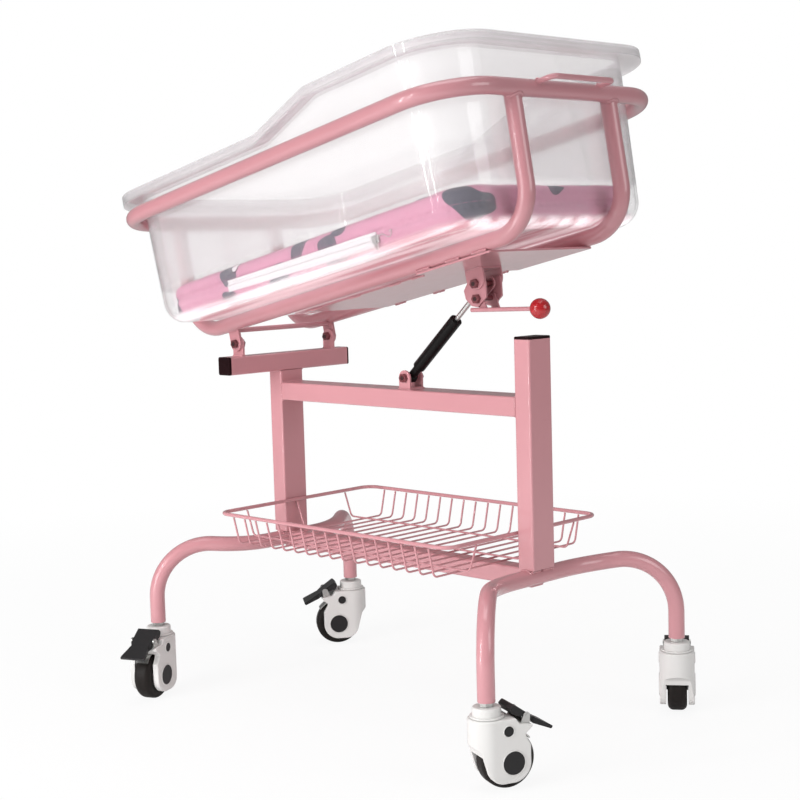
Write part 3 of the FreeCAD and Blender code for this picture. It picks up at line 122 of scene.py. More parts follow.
def seen_directly(tree):
    """1 for rays from the camera and through clear plastic."""
    path = node(tree, "ShaderNodeLightPath")
    camera, through = path.outputs["Is Camera Ray"], path.outputs["Is Transmission Ray"]
    return math_node(tree, "MAXIMUM", camera, through)


def make_room():
    world = bpy.data.worlds.new("room")
    scene.world = world
    world.use_nodes = True
    tree = world.node_tree
    tree.nodes.clear()
    light = node(tree, "ShaderNodeBackground", {"Color": WHITE, "Strength": ROOM_LIGHT})
    white = node(tree, "ShaderNodeBackground", {"Color": WHITE, "Strength": 1.0})
    mix = node(
        tree, "ShaderNodeMixShader",
        {0: seen_directly(tree), 1: light.outputs[0], 2: white.outputs[0]},
    )
    node(tree, "ShaderNodeOutputWorld", {"Surface": mix.outputs[0]})


def make_floor():
    """White floor that keeps a soft shadow near the wheels and fades into the room."""
    mesh = bpy.data.meshes.new("floor")
    far = FLOOR_REACH
    corners = [(-far, -far, 0), (far, -far, 0), (far, far, 0), (-far, far, 0)]
    mesh.from_pydata(corners, [], [(0, 1, 2, 3)])
    floor = in_scene("floor", mesh)
    paint = bpy.data.materials.new("floor_white")
    paint.use_nodes = True
    tree = paint.node_tree
    tree.nodes.clear()
    place = node(tree, "ShaderNodeTexCoord").outputs["Object"]
    distance = node(tree, "ShaderNodeVectorMath", {0: place}, operation="LENGTH")
    fade = node(
        tree, "ShaderNodeMapRange",
        {"Value": distance.outputs["Value"], "From Min": FADE_START, "From Max": FADE_END,
         "To Min": FADE_LEAST, "To Max": 1.0},
    )
    plain = node(
        tree, "ShaderNodeBsdfPrincipled",
        {"Base Color": (FLOOR_WHITE, FLOOR_WHITE, FLOOR_WHITE, 1), "Roughness": FLOOR_ROUGHNESS,
         "Specular IOR Level": 0.0},
    )
    white = node(tree, "ShaderNodeEmission", {"Color": WHITE, "Strength": 1.0})
    share = math_node(tree, "MULTIPLY", fade.outputs[0], seen_directly(tree))
    mix = node(tree, "ShaderNodeMixShader", {0: share, 1: plain.outputs[0], 2: white.outputs[0]})
    node(tree, "ShaderNodeOutputMaterial", {"Surface": mix.outputs[0]})
    mesh.materials.append(paint)


make_camera()
for lamp in LAMPS:
    make_lamp(*lamp)
make_room()
make_floor()
scene.view_settings.view_transform = "Standard"

# --- Stand -------------------------------------------------------------------
# Bent round tube for the feet, rectangular tube for posts and beams, all welded and
# then powder coated in dusty rose. The coat has a fine orange peel and a soft sheen.

ROSE, ROSE_DARK = (0.600, 0.275, 0.302), (0.500, 0.210, 0.232)
STAND_PIECES = (
    "foot_head", "foot_foot", "post_head", "post_foot", "t_beam", "crossbar", "lower_beam",
    "lower_hinge_lugs", "spring_clevis",
)
BLOTCH_SCALE, BLOTCH_RANGE = 5.0, (0.3, 0.72)
DULL_SCALE = 60.0
GRAIN_DEPTH = 0.0004


def shader_group(name, inputs, outputs):
    """A node group with named sockets; returns its tree, its inputs and its outputs."""
    group = bpy.data.node_groups.new(name, "ShaderNodeTree")
    kinds = {"v": "NodeSocketVector", "f": "NodeSocketFloat", "c": "NodeSocketColor"}
    for direction, sockets in (("INPUT", inputs), ("OUTPUT", outputs)):
        for socket, kind in sockets.items():
            group.interface.new_socket(socket, in_out=direction, socket_type=kinds[kind])
    start = group.nodes.new("NodeGroupInput")
    end = group.nodes.new("NodeGroupOutput")
    return group, start.outputs, end.inputs


def noise(tree, place, scale, detail):
    values = {"Vector": place, "Scale": scale, "Detail": detail}
    return node(tree, "ShaderNodeTexNoise", values).outputs


def ramp(tree, value, low, high, **settings):
    """0 where the value is at its low end, 1 where it is at its high end."""
    values = {"Value": value, "From Min": low, "From Max": high}
    return node(tree, "ShaderNodeMapRange", values, **settings).outputs[0]


def mixed(tree, share, first, second):
    """The first colour, which turns into the second as the share goes from 0 to 1."""
    values = {0: share, 6: first, 7: second}
    return node(tree, "ShaderNodeMix", values, data_type="RGBA").outputs[2]


def make_skin_group():
    """Uneven colour, uneven gloss and a fine grain, as every moulded or coated skin has."""
    inputs = {
        "Place": "v", "Colour": "c", "Deep": "c", "Unevenness": "f", "Gloss loss": "f",
        "Roughness": "f", "Grain": "f",
    }
    outputs = {"Colour": "c", "Roughness": "f", "Height": "f"}
    group, given, result = shader_group("skin", inputs, outputs)
    broad = noise(group, given["Place"], BLOTCH_SCALE, detail=3.0)["Fac"]
    fine = noise(group, given["Place"], DULL_SCALE, detail=4.0)["Fac"]
    spread = ramp(group, broad, *BLOTCH_RANGE)
    share = math_node(group, "MULTIPLY", spread, given["Unevenness"])
    group.links.new(mixed(group, share, given["Colour"], given["Deep"]), result["Colour"])
    rough = math_node(group, "MULTIPLY_ADD", fine, given["Gloss loss"], given["Roughness"])
    group.links.new(rough, result["Roughness"])
    grain = noise(group, given["Place"], given["Grain"], detail=2.0)["Fac"]
    group.links.new(grain, result["Height"])
    return group


SKIN = make_skin_group()


def skin_material(
    name, colour, deep, roughness, grain, relief, uneven=0.35, dulling=0.08, **sockets
):
    """A material whose colour, gloss and grain come from the skin group."""
    made = bpy.data.materials.new(name)
    made.use_nodes = True
    tree = made.node_tree
    shader = tree.nodes["Principled BSDF"]
    place = node(tree, "ShaderNodeTexCoord").outputs["Object"]
    skin = node(
        tree, "ShaderNodeGroup",
        {"Place": place, "Colour": (*colour, 1), "Deep": (*deep, 1), "Unevenness": uneven,
         "Gloss loss": dulling, "Roughness": roughness, "Grain": grain},
        node_tree=SKIN,
    ).outputs
    tree.links.new(skin["Colour"], shader.inputs["Base Color"])
    tree.links.new(skin["Roughness"], shader.inputs["Roughness"])
    bump = node(
        tree, "ShaderNodeBump",
        {"Height": skin["Height"], "Strength": relief, "Distance": GRAIN_DEPTH},
    )
    tree.links.new(bump.outputs[0], shader.inputs["Normal"])
    for socket, value in sockets.items():
        shader.inputs[socket.replace("_", " ")].default_value = value
    return made


def powder_coat(name, colour, deep):
    """Baked powder: a fine orange peel under a smooth gloss."""
    return skin_material(
        name, colour, deep, roughness=0.30, grain=900.0, relief=0.16, uneven=0.25,
        Coat_Weight=0.7, Coat_Roughness=0.05,
    )


def dress(name, material):
    """Gives a CAD piece its finish."""
    for place in cad[name].material_slots:
        place.link = "OBJECT"
        place.material = material


rose_coat = powder_coat("rose_coat", ROSE, ROSE_DARK)
for name in STAND_PIECES:
    dress(name, rose_coat)


def make_bead_tree():
    """Sets one small rounded bead after another along every line that it is given."""
    tree = bpy.data.node_groups.new("beads_along_lines", "GeometryNodeTree")
    kinds = {
        "Lines": "NodeSocketGeometry", "Spacing": "NodeSocketFloat", "Length": "NodeSocketFloat",
        "Width": "NodeSocketFloat", "Height": "NodeSocketFloat", "Unevenness": "NodeSocketFloat",
        "Seed": "NodeSocketInt", "Material": "NodeSocketMaterial",
    }
    for socket, kind in kinds.items():
        tree.interface.new_socket(socket, in_out="INPUT", socket_type=kind)
    tree.interface.new_socket("Beads", in_out="OUTPUT", socket_type="NodeSocketGeometry")
    given = tree.nodes.new("NodeGroupInput").outputs
    curve = node(tree, "GeometryNodeMeshToCurve", {"Mesh": given["Lines"]})
    steps = node(
        tree, "GeometryNodeResampleCurve", {"Curve": curve.outputs[0], "Length": given["Spacing"]},
        mode="LENGTH",
    )
    unit_ball = node(tree, "GeometryNodeMeshIcoSphere", {"Radius": 0.5, "Subdivisions": 2})
    along = node(tree, "GeometryNodeInputTangent")
    turn = node(
        tree, "FunctionNodeAlignRotationToVector", {"Vector": along.outputs[0]}, axis="X"
    )
    least = math_node(tree, "SUBTRACT", 1.0, given["Unevenness"])
    most = math_node(tree, "ADD", 1.0, given["Unevenness"])
    share = node(
        tree, "FunctionNodeRandomValue", {2: least, 3: most, "Seed": given["Seed"]},
        data_type="FLOAT",
    )
    size = node(
        tree, "ShaderNodeCombineXYZ",
        {"X": given["Length"], "Y": given["Width"], "Z": given["Height"]},
    )
    scaled = node(
        tree, "ShaderNodeVectorMath", {0: size.outputs[0], "Scale": share.outputs[1]},
        operation="SCALE",
    )
    beads = node(
        tree, "GeometryNodeInstanceOnPoints",
        {"Points": steps.outputs[0], "Instance": unit_ball.outputs[0],
         "Rotation": turn.outputs[0], "Scale": scaled.outputs[0]},
    )
    real = node(tree, "GeometryNodeRealizeInstances", {0: beads.outputs[0]})
    painted = node(
        tree, "GeometryNodeSetMaterial",
        {"Geometry": real.outputs[0], "Material": given["Material"]},
    )
    node(tree, "NodeGroupOutput", {0: painted.outputs[0]})
    return tree


BEADS = make_bead_tree()


def applied(holder):
    """The object's mesh with its modifiers in it, and no modifier left on the object."""
    graph = bpy.context.evaluated_depsgraph_get()
    mesh = bpy.data.meshes.new_from_object(holder.evaluated_get(graph))
    holder.modifiers.clear()
    old = holder.data
    holder.data = mesh
    bpy.data.meshes.remove(old)
    return mesh


def bead_rows(name, lines, material, spacing, length, width, height, uneven, seed=1, place=None):
    """One mesh of beads along the given lines, each a list of points."""
    points, edges = [], []
    for line in lines:
        start = len(points)
        points += line
        edges += [(start + i, start + i + 1) for i in range(len(line) - 1)]
    mesh = bpy.data.meshes.new(name)
    mesh.from_pydata(points, edges, [])
    holder = in_scene(name, mesh)
    maker = holder.modifiers.new("beads", "NODES")
    maker.node_group = BEADS
    values = {
        "Spacing": spacing, "Length": length, "Width": width, "Height": height,
        "Unevenness": uneven, "Seed": seed, "Material": material,
    }
    for socket in BEADS.interface.items_tree:
        if socket.in_out == "INPUT" and socket.name in values:
            maker[socket.identifier] = values[socket.name]
    made = applied(holder)
    if place is not None:
        made.transform(place)
    made.shade_smooth()
    return holder


def circle(centre, first, second, radius, steps=16):
    """Points round a circle that lies along two square directions."""
    middle, first, second = Vector(centre), Vector(first), Vector(second)
    turns = [2 * math.pi * i / steps for i in range(steps + 1)]
    return [
        middle + radius * (math.cos(turn) * first + math.sin(turn) * second) for turn in turns
    ]


def rectangle(x_ends, y_ends, z):
    """One line round the four edges of a level rectangle."""
    (x0, x1), (y0, y1) = x_ends, y_ends
    return [(x0, y0, z), (x1, y0, z), (x1, y1, z), (x0, y1, z), (x0, y0, z)]


# Each weld runs through the points of its line. A weld that both posts have is given for
# the post where x is above 0, and one that both sides have for the side where y is.
CROSSBAR_LEVEL_WELDS = [[(0.2603, -0.022, z), (0.2603, 0.022, z)] for z in (0.4838, 0.5138)]
CROSSBAR_UPRIGHT_WELD = [(0.2600, 0.0245, 0.487), (0.2600, 0.0245, 0.511)]
LOWER_BEAM_WELD = [(0.263, 0.0155, 0.232), (0.263, 0.0155, 0.255)]
POST_BASE_WELDS = [[(x, 0.023, 0.2545), (x, 0.004, 0.2545)] for x in (0.2655, 0.2845)]
POST_SADDLE_WELD = [
    (0.2655, 0.0254, 0.253), (0.270, 0.0254, 0.2563), (0.275, 0.0254, 0.2572),
    (0.280, 0.0254, 0.2563), (0.2845, 0.0254, 0.253),
]
CROSS_MEMBER_WELD = [(-0.287, 0.0252, 0.5332), (-0.263, 0.0252, 0.5332)]
LOWER_LUG_WELDS = [[(-0.286, y, 0.5637), (-0.264, y, 0.5637)] for y in (0.0992, 0.1042)]
CLEVIS_WELD = rectangle((0.0122, 0.0368), (-0.0153, 0.0153), 0.5139)
WELD = {"spacing": 0.0017, "length": 0.0034, "width": 0.0036, "height": 0.0036, "uneven": 0.14}


def mirrored(line, end, side):
    return [(end * x, side * y, z) for x, y, z in line]


def stand_weld_lines():
    side_welds = (CROSSBAR_UPRIGHT_WELD, LOWER_BEAM_WELD, *POST_BASE_WELDS, POST_SADDLE_WELD)
    lines = []
    for end in (-1, 1):
        lines += [mirrored(weld, end, 1) for weld in CROSSBAR_LEVEL_WELDS]
        for side in (-1, 1):
            lines += [mirrored(weld, end, side) for weld in side_welds]
    for side in (-1, 1):
        lines += [mirrored(weld, 1, side) for weld in (CROSS_MEMBER_WELD, *LOWER_LUG_WELDS)]
    return lines + [CLEVIS_WELD]


stand_welds = bead_rows("stand_welds", stand_weld_lines(), rose_coat, seed=3, **WELD)
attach(stand_welds, "stand")

# --- Black end caps ----------------------------------------------------------
# Moulded polythene plugs close the top of the head post and both ends of the cross
# member. They are pressed in, dull black, with a fine mould texture.

black_plastic = skin_material(
    "black_plastic", (0.012, 0.002, 0.003), (0.007, 0.001, 0.002),
    roughness=0.38, grain=1400.0, relief=0.25, Specular_IOR_Level=0.10,
)
for name in ("post_cap", "t_beam_caps"):
    dress(name, black_plastic)

# --- Wire basket -------------------------------------------------------------
# A heavy rim wire with thin cross wires welded under it and three runners on top of
# those, dipped and coated in the same rose as the stand.

for name in ("basket_rim", "basket_cross_wires", "basket_long_wires"):
    dress(name, rose_coat)

# --- Cradle ------------------------------------------------------------------
# Ring, under-tubes, support plate, hinge lugs, bracket and handle rod: one weldment
# that tilts on two bolts. The bolts were painted over with the rest and look darker.

CRADLE_PIECES = (
    "cradle_ring", "under_tube_near", "under_tube_far", "support_plate", "upper_hinge_lugs",
    "upper_bracket", "lever_cheeks", "push_handle", "rod_end", "release_lever",
)
# The cradle has the stand's rose paint; these colours are a darker copy of it, painted shade over
# the whole cradle.
SHADED_CRADLE_ROSE, SHADED_CRADLE_ROSE_DARK = (0.510, 0.228, 0.254), (0.425, 0.175, 0.196)
painted_bolt = skin_material(
    "painted_bolt", (0.20, 0.045, 0.055), (0.07, 0.012, 0.015),
    roughness=0.22, grain=500.0, relief=0.5, uneven=0.8, dulling=0.15,
    Coat_Weight=0.7, Coat_Roughness=0.06,
)
# Painted shade: the cradle and its welds wear this darker copy of the stand's coat.
shaded_cradle_coat = powder_coat("shaded_cradle_coat", SHADED_CRADLE_ROSE, SHADED_CRADLE_ROSE_DARK)
for name in CRADLE_PIECES:
    dress(name, shaded_cradle_coat)
for name in ("hinge_bolts", "clevis_bolt", "bracket_bolt", "lever_bolt"):
    dress(name, painted_bolt)

# The cradle's welds are laid out with the cradle level and its hinge line at the
# origin, and CRADLE_PLACE then lifts and tilts them to where the cradle rests.
HINGE_AT = Vector((-0.275, 0, 0.5841))
CRADLE_TILT = math.radians(12.19)
CRADLE_PLACE = Matrix.Translation(HINGE_AT) @ Matrix.Rotation(-CRADLE_TILT, 4, "Y")
TUBE_RADIUS = 0.0125
# The ring's middle line at its foot and head ends, and the under-tubes' uprights there.
RING_LEVEL, RING_X = 0.228, (-0.099, 0.681)
HOOP_Y, HOOP_X = 0.1074, (-0.099, 0.6758)
SADDLE_STEPS, SADDLE_TOP = 32, 0.2235
HANDLE_END, HANDLE_WELD_RADIUS = (0.6926, 0.068, 0.234), 0.0043
BRACKET_WELD = [(0.456, 0.0222, 0.0182), (0.487, 0.0222, 0.0182)]
UPPER_LUG_WELDS = [[(-0.011, y, 0.0222), (0.011, y, 0.0222)] for y in (0.1086, 0.1034)]
TIE_ROD_END, TIE_ROD_WELD_RADIUS = (0.004, 0.1036, 0.022), 0.0046
PLATE_STITCHES = (  # starts along x, length, y and z
    ((0.447, 0.507, 0.560), 0.024, 0.1165, 0.0235),
    ((0.185, 0.275, 0.365, 0.415), 0.022, 0.0945, 0.0185),
)
FILLET = {"spacing": 0.0014, "length": 0.0058, "width": 0.0058, "height": 0.0058, "uneven": 0.06}
STITCH = {"spacing": 0.0036, "length": 0.0046, "width": 0.0044, "height": 0.0044, "uneven": 0.15}


def saddle(hoop_x, ring_x, y):
    """Where an upright tube runs into the ring from below."""
    points = []
    for i in range(SADDLE_STEPS + 1):
        turn = 2 * math.pi * i / SADDLE_STEPS
        x, along = hoop_x + TUBE_RADIUS * math.cos(turn), y + TUBE_RADIUS * math.sin(turn)
        depth = math.sqrt(max(TUBE_RADIUS ** 2 - (x - ring_x) ** 2, 0.0))
        points.append((x, along, min(RING_LEVEL - depth, SADDLE_TOP)))
    return points


def cradle_weld_lines():
    lines = []
    for side in (-1, 1):
        handle, rod = mirrored((HANDLE_END, TIE_ROD_END), 1, side)
        lines.append(circle(handle, (0, 1, 0), (0, 0, 1), HANDLE_WELD_RADIUS))
        lines += [mirrored(weld, 1, side) for weld in (BRACKET_WELD, *UPPER_LUG_WELDS)]
        lines.append(circle(rod, (1, 0, 0), (0, 0, 1), TIE_ROD_WELD_RADIUS))
    return lines


def stitch_weld_lines():
    """Short welds with gaps between them hold the plate to both under-tubes."""
    lines = []
    for side in (-1, 1):
        for starts, length, y, z in PLATE_STITCHES:
            lines += [[(start, side * y, z), (start + length, side * y, z)] for start in starts]
    return lines


saddles = [
    saddle(hoop, ring, side * HOOP_Y) for hoop, ring in zip(HOOP_X, RING_X) for side in (-1, 1)
]
for name, lines, seed, bead in (
    ("ring_fillets", saddles, 9, FILLET),
    ("stitch_welds", stitch_weld_lines(), 11, STITCH),
    ("cradle_welds", cradle_weld_lines(), 5, WELD),
):
    welds = bead_rows(name, lines, shaded_cradle_coat, seed=seed, place=CRADLE_PLACE, **bead)
    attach(welds, "cradle")

# --- Bolt sockets ------------------------------------------------------------
# Steel bolts that a key turns: each head has a turned lip round a socket, which is sunk
# and twelve-sided. The socket's face is coloured nearly black: painted shade in the recess.

SOCKET_RADIUS, SOCKET_SIDES = 0.0026, 12
SOCKET_LIP, SOCKET_PROUD = 0.0009, 0.0007
SOCKET_PROFILE = (  # radius, and how far out of the head's face
    (SOCKET_RADIUS + SOCKET_LIP, -0.0003), (SOCKET_RADIUS + SOCKET_LIP * 0.8, SOCKET_PROUD),
    (SOCKET_RADIUS + SOCKET_LIP * 0.2, SOCKET_PROUD), (SOCKET_RADIUS, 0.0001),
)


def join_rings(work, rings):
    """Faces between each ring of points and the next."""
    for low, high in zip(rings, rings[1:]):
        for i in range(len(low)):
            j = (i + 1) % len(low)
            work.faces.new((low[i], low[j], high[j], high[i]))


def finished_mesh(name, work):
    """The worked faces as a mesh, all turned outward."""
    bmesh.ops.recalc_face_normals(work, faces=work.faces)
    mesh = bpy.data.meshes.new(name)
    work.to_mesh(mesh)
    work.free()
    return mesh


def bolt_socket(name, at, body):
    """A low lip round a sunk face in painted shade, on a bolt head that faces the near side."""
    work = bmesh.new()
    turns = [2 * math.pi * i / SOCKET_SIDES for i in range(SOCKET_SIDES)]
    rings = [
        [work.verts.new((radius * math.cos(t), -out, radius * math.sin(t))) for t in turns]
        for radius, out in SOCKET_PROFILE
    ]
    join_rings(work, rings)
    work.faces.new(rings[-1])
    work.faces.new(rings[0])
    mesh = finished_mesh(name, work)
    place = Matrix.Identity(4) if body == "stand" else CRADLE_PLACE
    mesh.transform(place @ Matrix.Translation(at))
    mesh.materials.append(socket_painted_shade)
    holder = in_scene(name, mesh)
    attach(holder, body)


# The socket's face is nearly black: painted shade in the recess.
socket_painted_shade = skin_material(
    "socket_painted_shade", (0.045, 0.006, 0.008), (0.015, 0.002, 0.003),
    roughness=0.25, grain=500.0, relief=0.3, uneven=0.8, dulling=0.2,
    Coat_Weight=0.8, Coat_Roughness=0.05,
)
for name, at, body in (
    ("hinge_socket_near", (0, -0.1133, 0), "cradle"),
    ("hinge_socket_far", (0, 0.0919, 0), "cradle"),
    ("bracket_socket", (0.4705, -0.0273, -0.004), "cradle"),
    ("lever_socket", (0.4658, -0.0243, -0.0261), "release"),
    ("clevis_socket", (0.0245, -0.0203, 0.5316), "stand"),
):
    bolt_socket(name, at, body)

# --- Gas spring --------------------------------------------------------------
# A drawn steel cylinder lacquered black, with a ground steel rod that slides in it and
# a zinc plated lock nut where the rod is screwed into its end piece.

black_lacquer = skin_material(
    "black_lacquer", (0.006, 0.005, 0.005), (0.003, 0.003, 0.003),
    roughness=0.28, grain=700.0, relief=0.08,
    Specular_IOR_Level=0.12, Coat_Weight=0.06, Coat_Roughness=0.08,
)
bright_steel = skin_material(
    "bright_steel", (0.62, 0.61, 0.60), (0.42, 0.41, 0.40),
    roughness=0.22, grain=1200.0, relief=0.12, uneven=0.6, dulling=0.2, Metallic=1.0,
)
dress("gas_cylinder", black_lacquer)
dress("gas_rod", bright_steel)
dress("rod_nut", bright_steel)

# --- Release knob ------------------------------------------------------------
# A turned phenolic ball, polished red, screwed on the end of the lever's rod. Hands keep
# it glossy, so it has next to no grain.

red_knob = skin_material(
    "red_knob", (0.40, 0.006, 0.010), (0.26, 0.003, 0.006),
    roughness=0.22, grain=300.0, relief=0.02, dulling=0.05, Coat_Weight=0.6, Coat_Roughness=0.10,
)
dress("lever_knob", red_knob)

# --- Tub ---------------------------------------------------------------------
# One vacuum-formed shell of natural polypropylene: clear but milky, so that what lies
# behind it shows soft, with a smooth gloss on the outside.

# The tub's rounded floor glows though no lamp is there: a painted glow, with painted white and
# pink reflection streaks.
FLOOR_GLOW, GLOW_WHITE, GLOW_PINK = 0.45, (0.96, 0.91, 0.92, 1), (0.72, 0.36, 0.40, 1)
# The first colour darkens the wall where it is seen edge-on: painted shade along the tub's
# outline.
PAINTED_EDGE_SHADE, EDGE_POWER = (0.50, 0.45, 0.49, 1), 5.0
# Heights over the hinge line: below the first pair the floor's round is painted white with a
# painted glow, and between TOUCH_BASE and TOUCH_TOP the mattress presses on the wall and
# shows more clearly.
PAINTED_LIGHT_BAND, TOUCH_TOP, TOUCH_BASE = (0.064, 0.053), (0.112, 0.100), (0.052, 0.062)
STREAK_STRETCH = (3.0, 40.0, 70.0)
WHITE_REFLECTION_STREAKS, PINK_REFLECTION_STREAKS = (0.42, 0.62), (0.46, 0.36)
PAINTED_LIGHT_LEAST, PAINTED_LIGHT_IN_STREAKS = 0.60, 0.35
WALL_ALPHA, TOUCH_CLEARER, PAINTED_LIGHT_SOLIDER, EDGE_SOLIDER = 0.50, -0.36, 0.50, 0.50


def cradle_coordinates(tree):
    """Positions measured from the hinge line along the cradle, as x, y and height."""
    place = node(tree, "ShaderNodeTexCoord").outputs["Object"]
    shifted = node(tree, "ShaderNodeVectorMath", {0: place, 1: -HINGE_AT}, operation="ADD")
    turned = node(
        tree, "ShaderNodeVectorRotate",
        {"Vector": shifted.outputs[0], "Axis": (0, 1, 0), "Angle": CRADLE_TILT},
        rotation_type="AXIS_ANGLE",
    )
    return turned.outputs[0]


def make_tub_plastic():
    """Milky walls, clearer where the mattress presses on them, and a painted white glow in the
    floor's round.
    """
    made = skin_material(
        "tub_plastic", (0.90, 0.87, 0.88), (0.85, 0.82, 0.835),
        roughness=0.20, grain=40.0, relief=0.03, uneven=0.4, dulling=0.08,
        Transmission_Weight=0.66, IOR=1.25, Coat_Weight=1.0, Coat_Roughness=0.05,
    )
    tree = made.node_tree
    shader = tree.nodes["Principled BSDF"]
    base = shader.inputs["Base Color"].links[0].from_socket
    place = cradle_coordinates(tree)
    height = node(tree, "ShaderNodeSeparateXYZ", {0: place}).outputs["Z"]
    under, below_top, above_base = (
        ramp(tree, height, low, high, interpolation_type="SMOOTHSTEP")
        for low, high in (PAINTED_LIGHT_BAND, TOUCH_TOP, TOUCH_BASE)
    )
    touching = math_node(tree, "MULTIPLY", below_top, above_base)
    stretched = node(
        tree, "ShaderNodeVectorMath", {0: place, 1: STREAK_STRETCH}, operation="MULTIPLY"
    )
    streaks = noise(tree, stretched.outputs[0], scale=1.0, detail=3.0)["Fac"]
    # Painted light in the floor's round, stronger along the white painted reflection streaks.
    lines = ramp(tree, streaks, *WHITE_REFLECTION_STREAKS)
    painted_light_strength = math_node(tree, "MULTIPLY_ADD", lines, PAINTED_LIGHT_IN_STREAKS, PAINTED_LIGHT_LEAST)
    painted_light_share = math_node(tree, "MULTIPLY", under, painted_light_strength)
    # Where the wall is seen edge-on its base colour turns grey: painted shade along the outline.
    edge = node(tree, "ShaderNodeLayerWeight", {"Blend": 0.5}).outputs["Facing"]
    edge = math_node(tree, "POWER", edge, EDGE_POWER)
    # Painted glow, white and pink in other streaks: it goes into the base colour and the emission,
    # so the floor's round shines with no lamp there.
    glow = mixed(tree, ramp(tree, streaks, *PINK_REFLECTION_STREAKS), GLOW_WHITE, GLOW_PINK)
    white = mixed(tree, painted_light_share, base, glow)
    lit = mixed(tree, painted_light_share, (0, 0, 0, 1), glow)
    tree.links.new(lit, shader.inputs["Emission Color"])
    shader.inputs["Emission Strength"].default_value = FLOOR_GLOW
    tree.links.new(mixed(tree, edge, white, PAINTED_EDGE_SHADE), shader.inputs["Base Color"])
    alpha = math_node(tree, "MULTIPLY_ADD", touching, TOUCH_CLEARER, WALL_ALPHA)
    alpha = math_node(tree, "MULTIPLY_ADD", painted_light_share, PAINTED_LIGHT_SOLIDER, alpha)
    alpha = math_node(tree, "MULTIPLY_ADD", edge, EDGE_SOLIDER, alpha)
    tree.links.new(math_node(tree, "MINIMUM", alpha, 1.0), shader.inputs["Alpha"])
    return made


dress("tub", make_tub_plastic())

# --- Casters -----------------------------------------------------------------
# Twin-cheek housings moulded in warm white, black rubber on a grey wheel centre,
# a steel stem with its nut, and a dark pedal on a pressed steel bracket.

white_moulding = skin_material(
    "white_moulding", (0.74, 0.73, 0.715), (0.67, 0.66, 0.645),
    roughness=0.30, grain=700.0, relief=0.12, Coat_Weight=0.2, Coat_Roughness=0.2,
)
rubber = skin_material(
    "rubber", (0.014, 0.011, 0.010), (0.008, 0.006, 0.005),
    roughness=0.42, grain=900.0, relief=0.3, dulling=0.15, Specular_IOR_Level=0.2,
)
wheel_grey = skin_material(
    "wheel_grey", (0.25, 0.25, 0.26), (0.18, 0.18, 0.19),
    roughness=0.42, grain=800.0, relief=0.2,
)
pedal_grey = skin_material(
    "pedal_grey", (0.022, 0.021, 0.022), (0.014, 0.013, 0.014),
    roughness=0.36, grain=1100.0, relief=0.2, Specular_IOR_Level=0.25,
)
zinc = skin_material(
    "zinc", (0.66, 0.66, 0.64), (0.45, 0.45, 0.44),
    roughness=0.28, grain=600.0, relief=0.3, uneven=0.7, dulling=0.25, Metallic=1.0,
)
CASTERS = ("foot_near", "head_near", "foot_far", "head_far")
CASTER_FINISHES = {
    "_housing": white_moulding, "_caps": pedal_grey, "_tyre": rubber,
    "_wheel_centre": wheel_grey, "_axle_and_bracket": zinc, "_pedal": pedal_grey,
}
for corner in CASTERS:
    for part, finish in CASTER_FINISHES.items():
        dress(corner + part, finish)
dress("caster_stems", zinc)
dress("swivel_caps", white_moulding)

# --- Caster trim -------------------------------------------------------------
# Every cap sits in a thin round lip that is moulded in one with the white housing. The
# lip stands a little proud of the cheek and guides the cap as it is pressed in.

LIP_GAP, LIP_THICK, LIP_EDGE = 0.0003, 0.0011, 0.0005
LIP_PROUD, LIP_SHOULDER, LIP_ROOT = 0.0013, 0.0008, -0.001
LIP_PROFILE = (  # how far outside the cap, and how far out of its seat
    (LIP_GAP, LIP_ROOT), (LIP_GAP, LIP_SHOULDER), (LIP_GAP + LIP_EDGE, LIP_PROUD),
    (LIP_THICK, LIP_PROUD), (LIP_THICK + LIP_EDGE, LIP_SHOULDER), (LIP_THICK + LIP_EDGE, LIP_ROOT),
)
LIP_STEPS = 48
CAP_PROUD = 0.0010
AXLE_CAPS_BELOW = 0.06
SAME_POINT = 1e-6


def loose_parts(mesh):
    """The points of each separate solid of a piece."""
    work = bmesh.new()
    work.from_mesh(mesh)
    bmesh.ops.remove_doubles(work, verts=work.verts, dist=SAME_POINT)
    left, parts = set(work.verts), []
    for first in work.verts:
        if first not in left:
            continue
        left.remove(first)
        stack, part = [first], []
        while stack:
            vert = stack.pop()
            part.append(vert.co.copy())
            for edge in vert.link_edges:
                other = edge.other_vert(vert)
                if other in left:
                    left.remove(other)
                    stack.append(other)
        parts.append(part)
    work.free()
    return sorted(parts, key=lambda part: (round(part[0].z, 4), part[0].x, part[0].y))


def cap_lips(corner):
    """One round lip about each of a caster's four caps."""
    parts = loose_parts(cad[corner + "_caps"].data)
    centres = [sum(part, Vector()) / len(part) for part in parts]
    middle = sum(centres, Vector()) / len(centres)
    on_axle = [c for c, part in zip(centres, parts) if max(p.z for p in part) < AXLE_CAPS_BELOW]
    axle = (on_axle[1] - on_axle[0]).normalized()
    up = Vector((0, 0, 1))
    ahead = axle.cross(up)
    work = bmesh.new()
    for part, centre in zip(parts, centres):
        outward = axle if (centre - middle).dot(axle) > 0 else -axle
        top, bottom = max(p.z for p in part), min(p.z for p in part)
        face = max((p - centre).dot(outward) for p in part)
        seat = centre + outward * (face - CAP_PROUD)
        seat.z = (top + bottom) / 2
        rings = []
        for grow, out in LIP_PROFILE:
            radius = (top - bottom) / 2 + grow
            ring = circle(seat + outward * out, ahead, up, radius, LIP_STEPS)[:-1]
            rings.append([work.verts.new(point) for point in ring])
        join_rings(work, rings + rings[:1])
    mesh = finished_mesh(corner + "_cap_lips", work)
    mesh.shade_smooth()
    mesh.materials.append(white_moulding)
    holder = in_scene(mesh.name, mesh)
    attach(holder, corner + "_swivel")


for corner in CASTERS:
    cap_lips(corner)

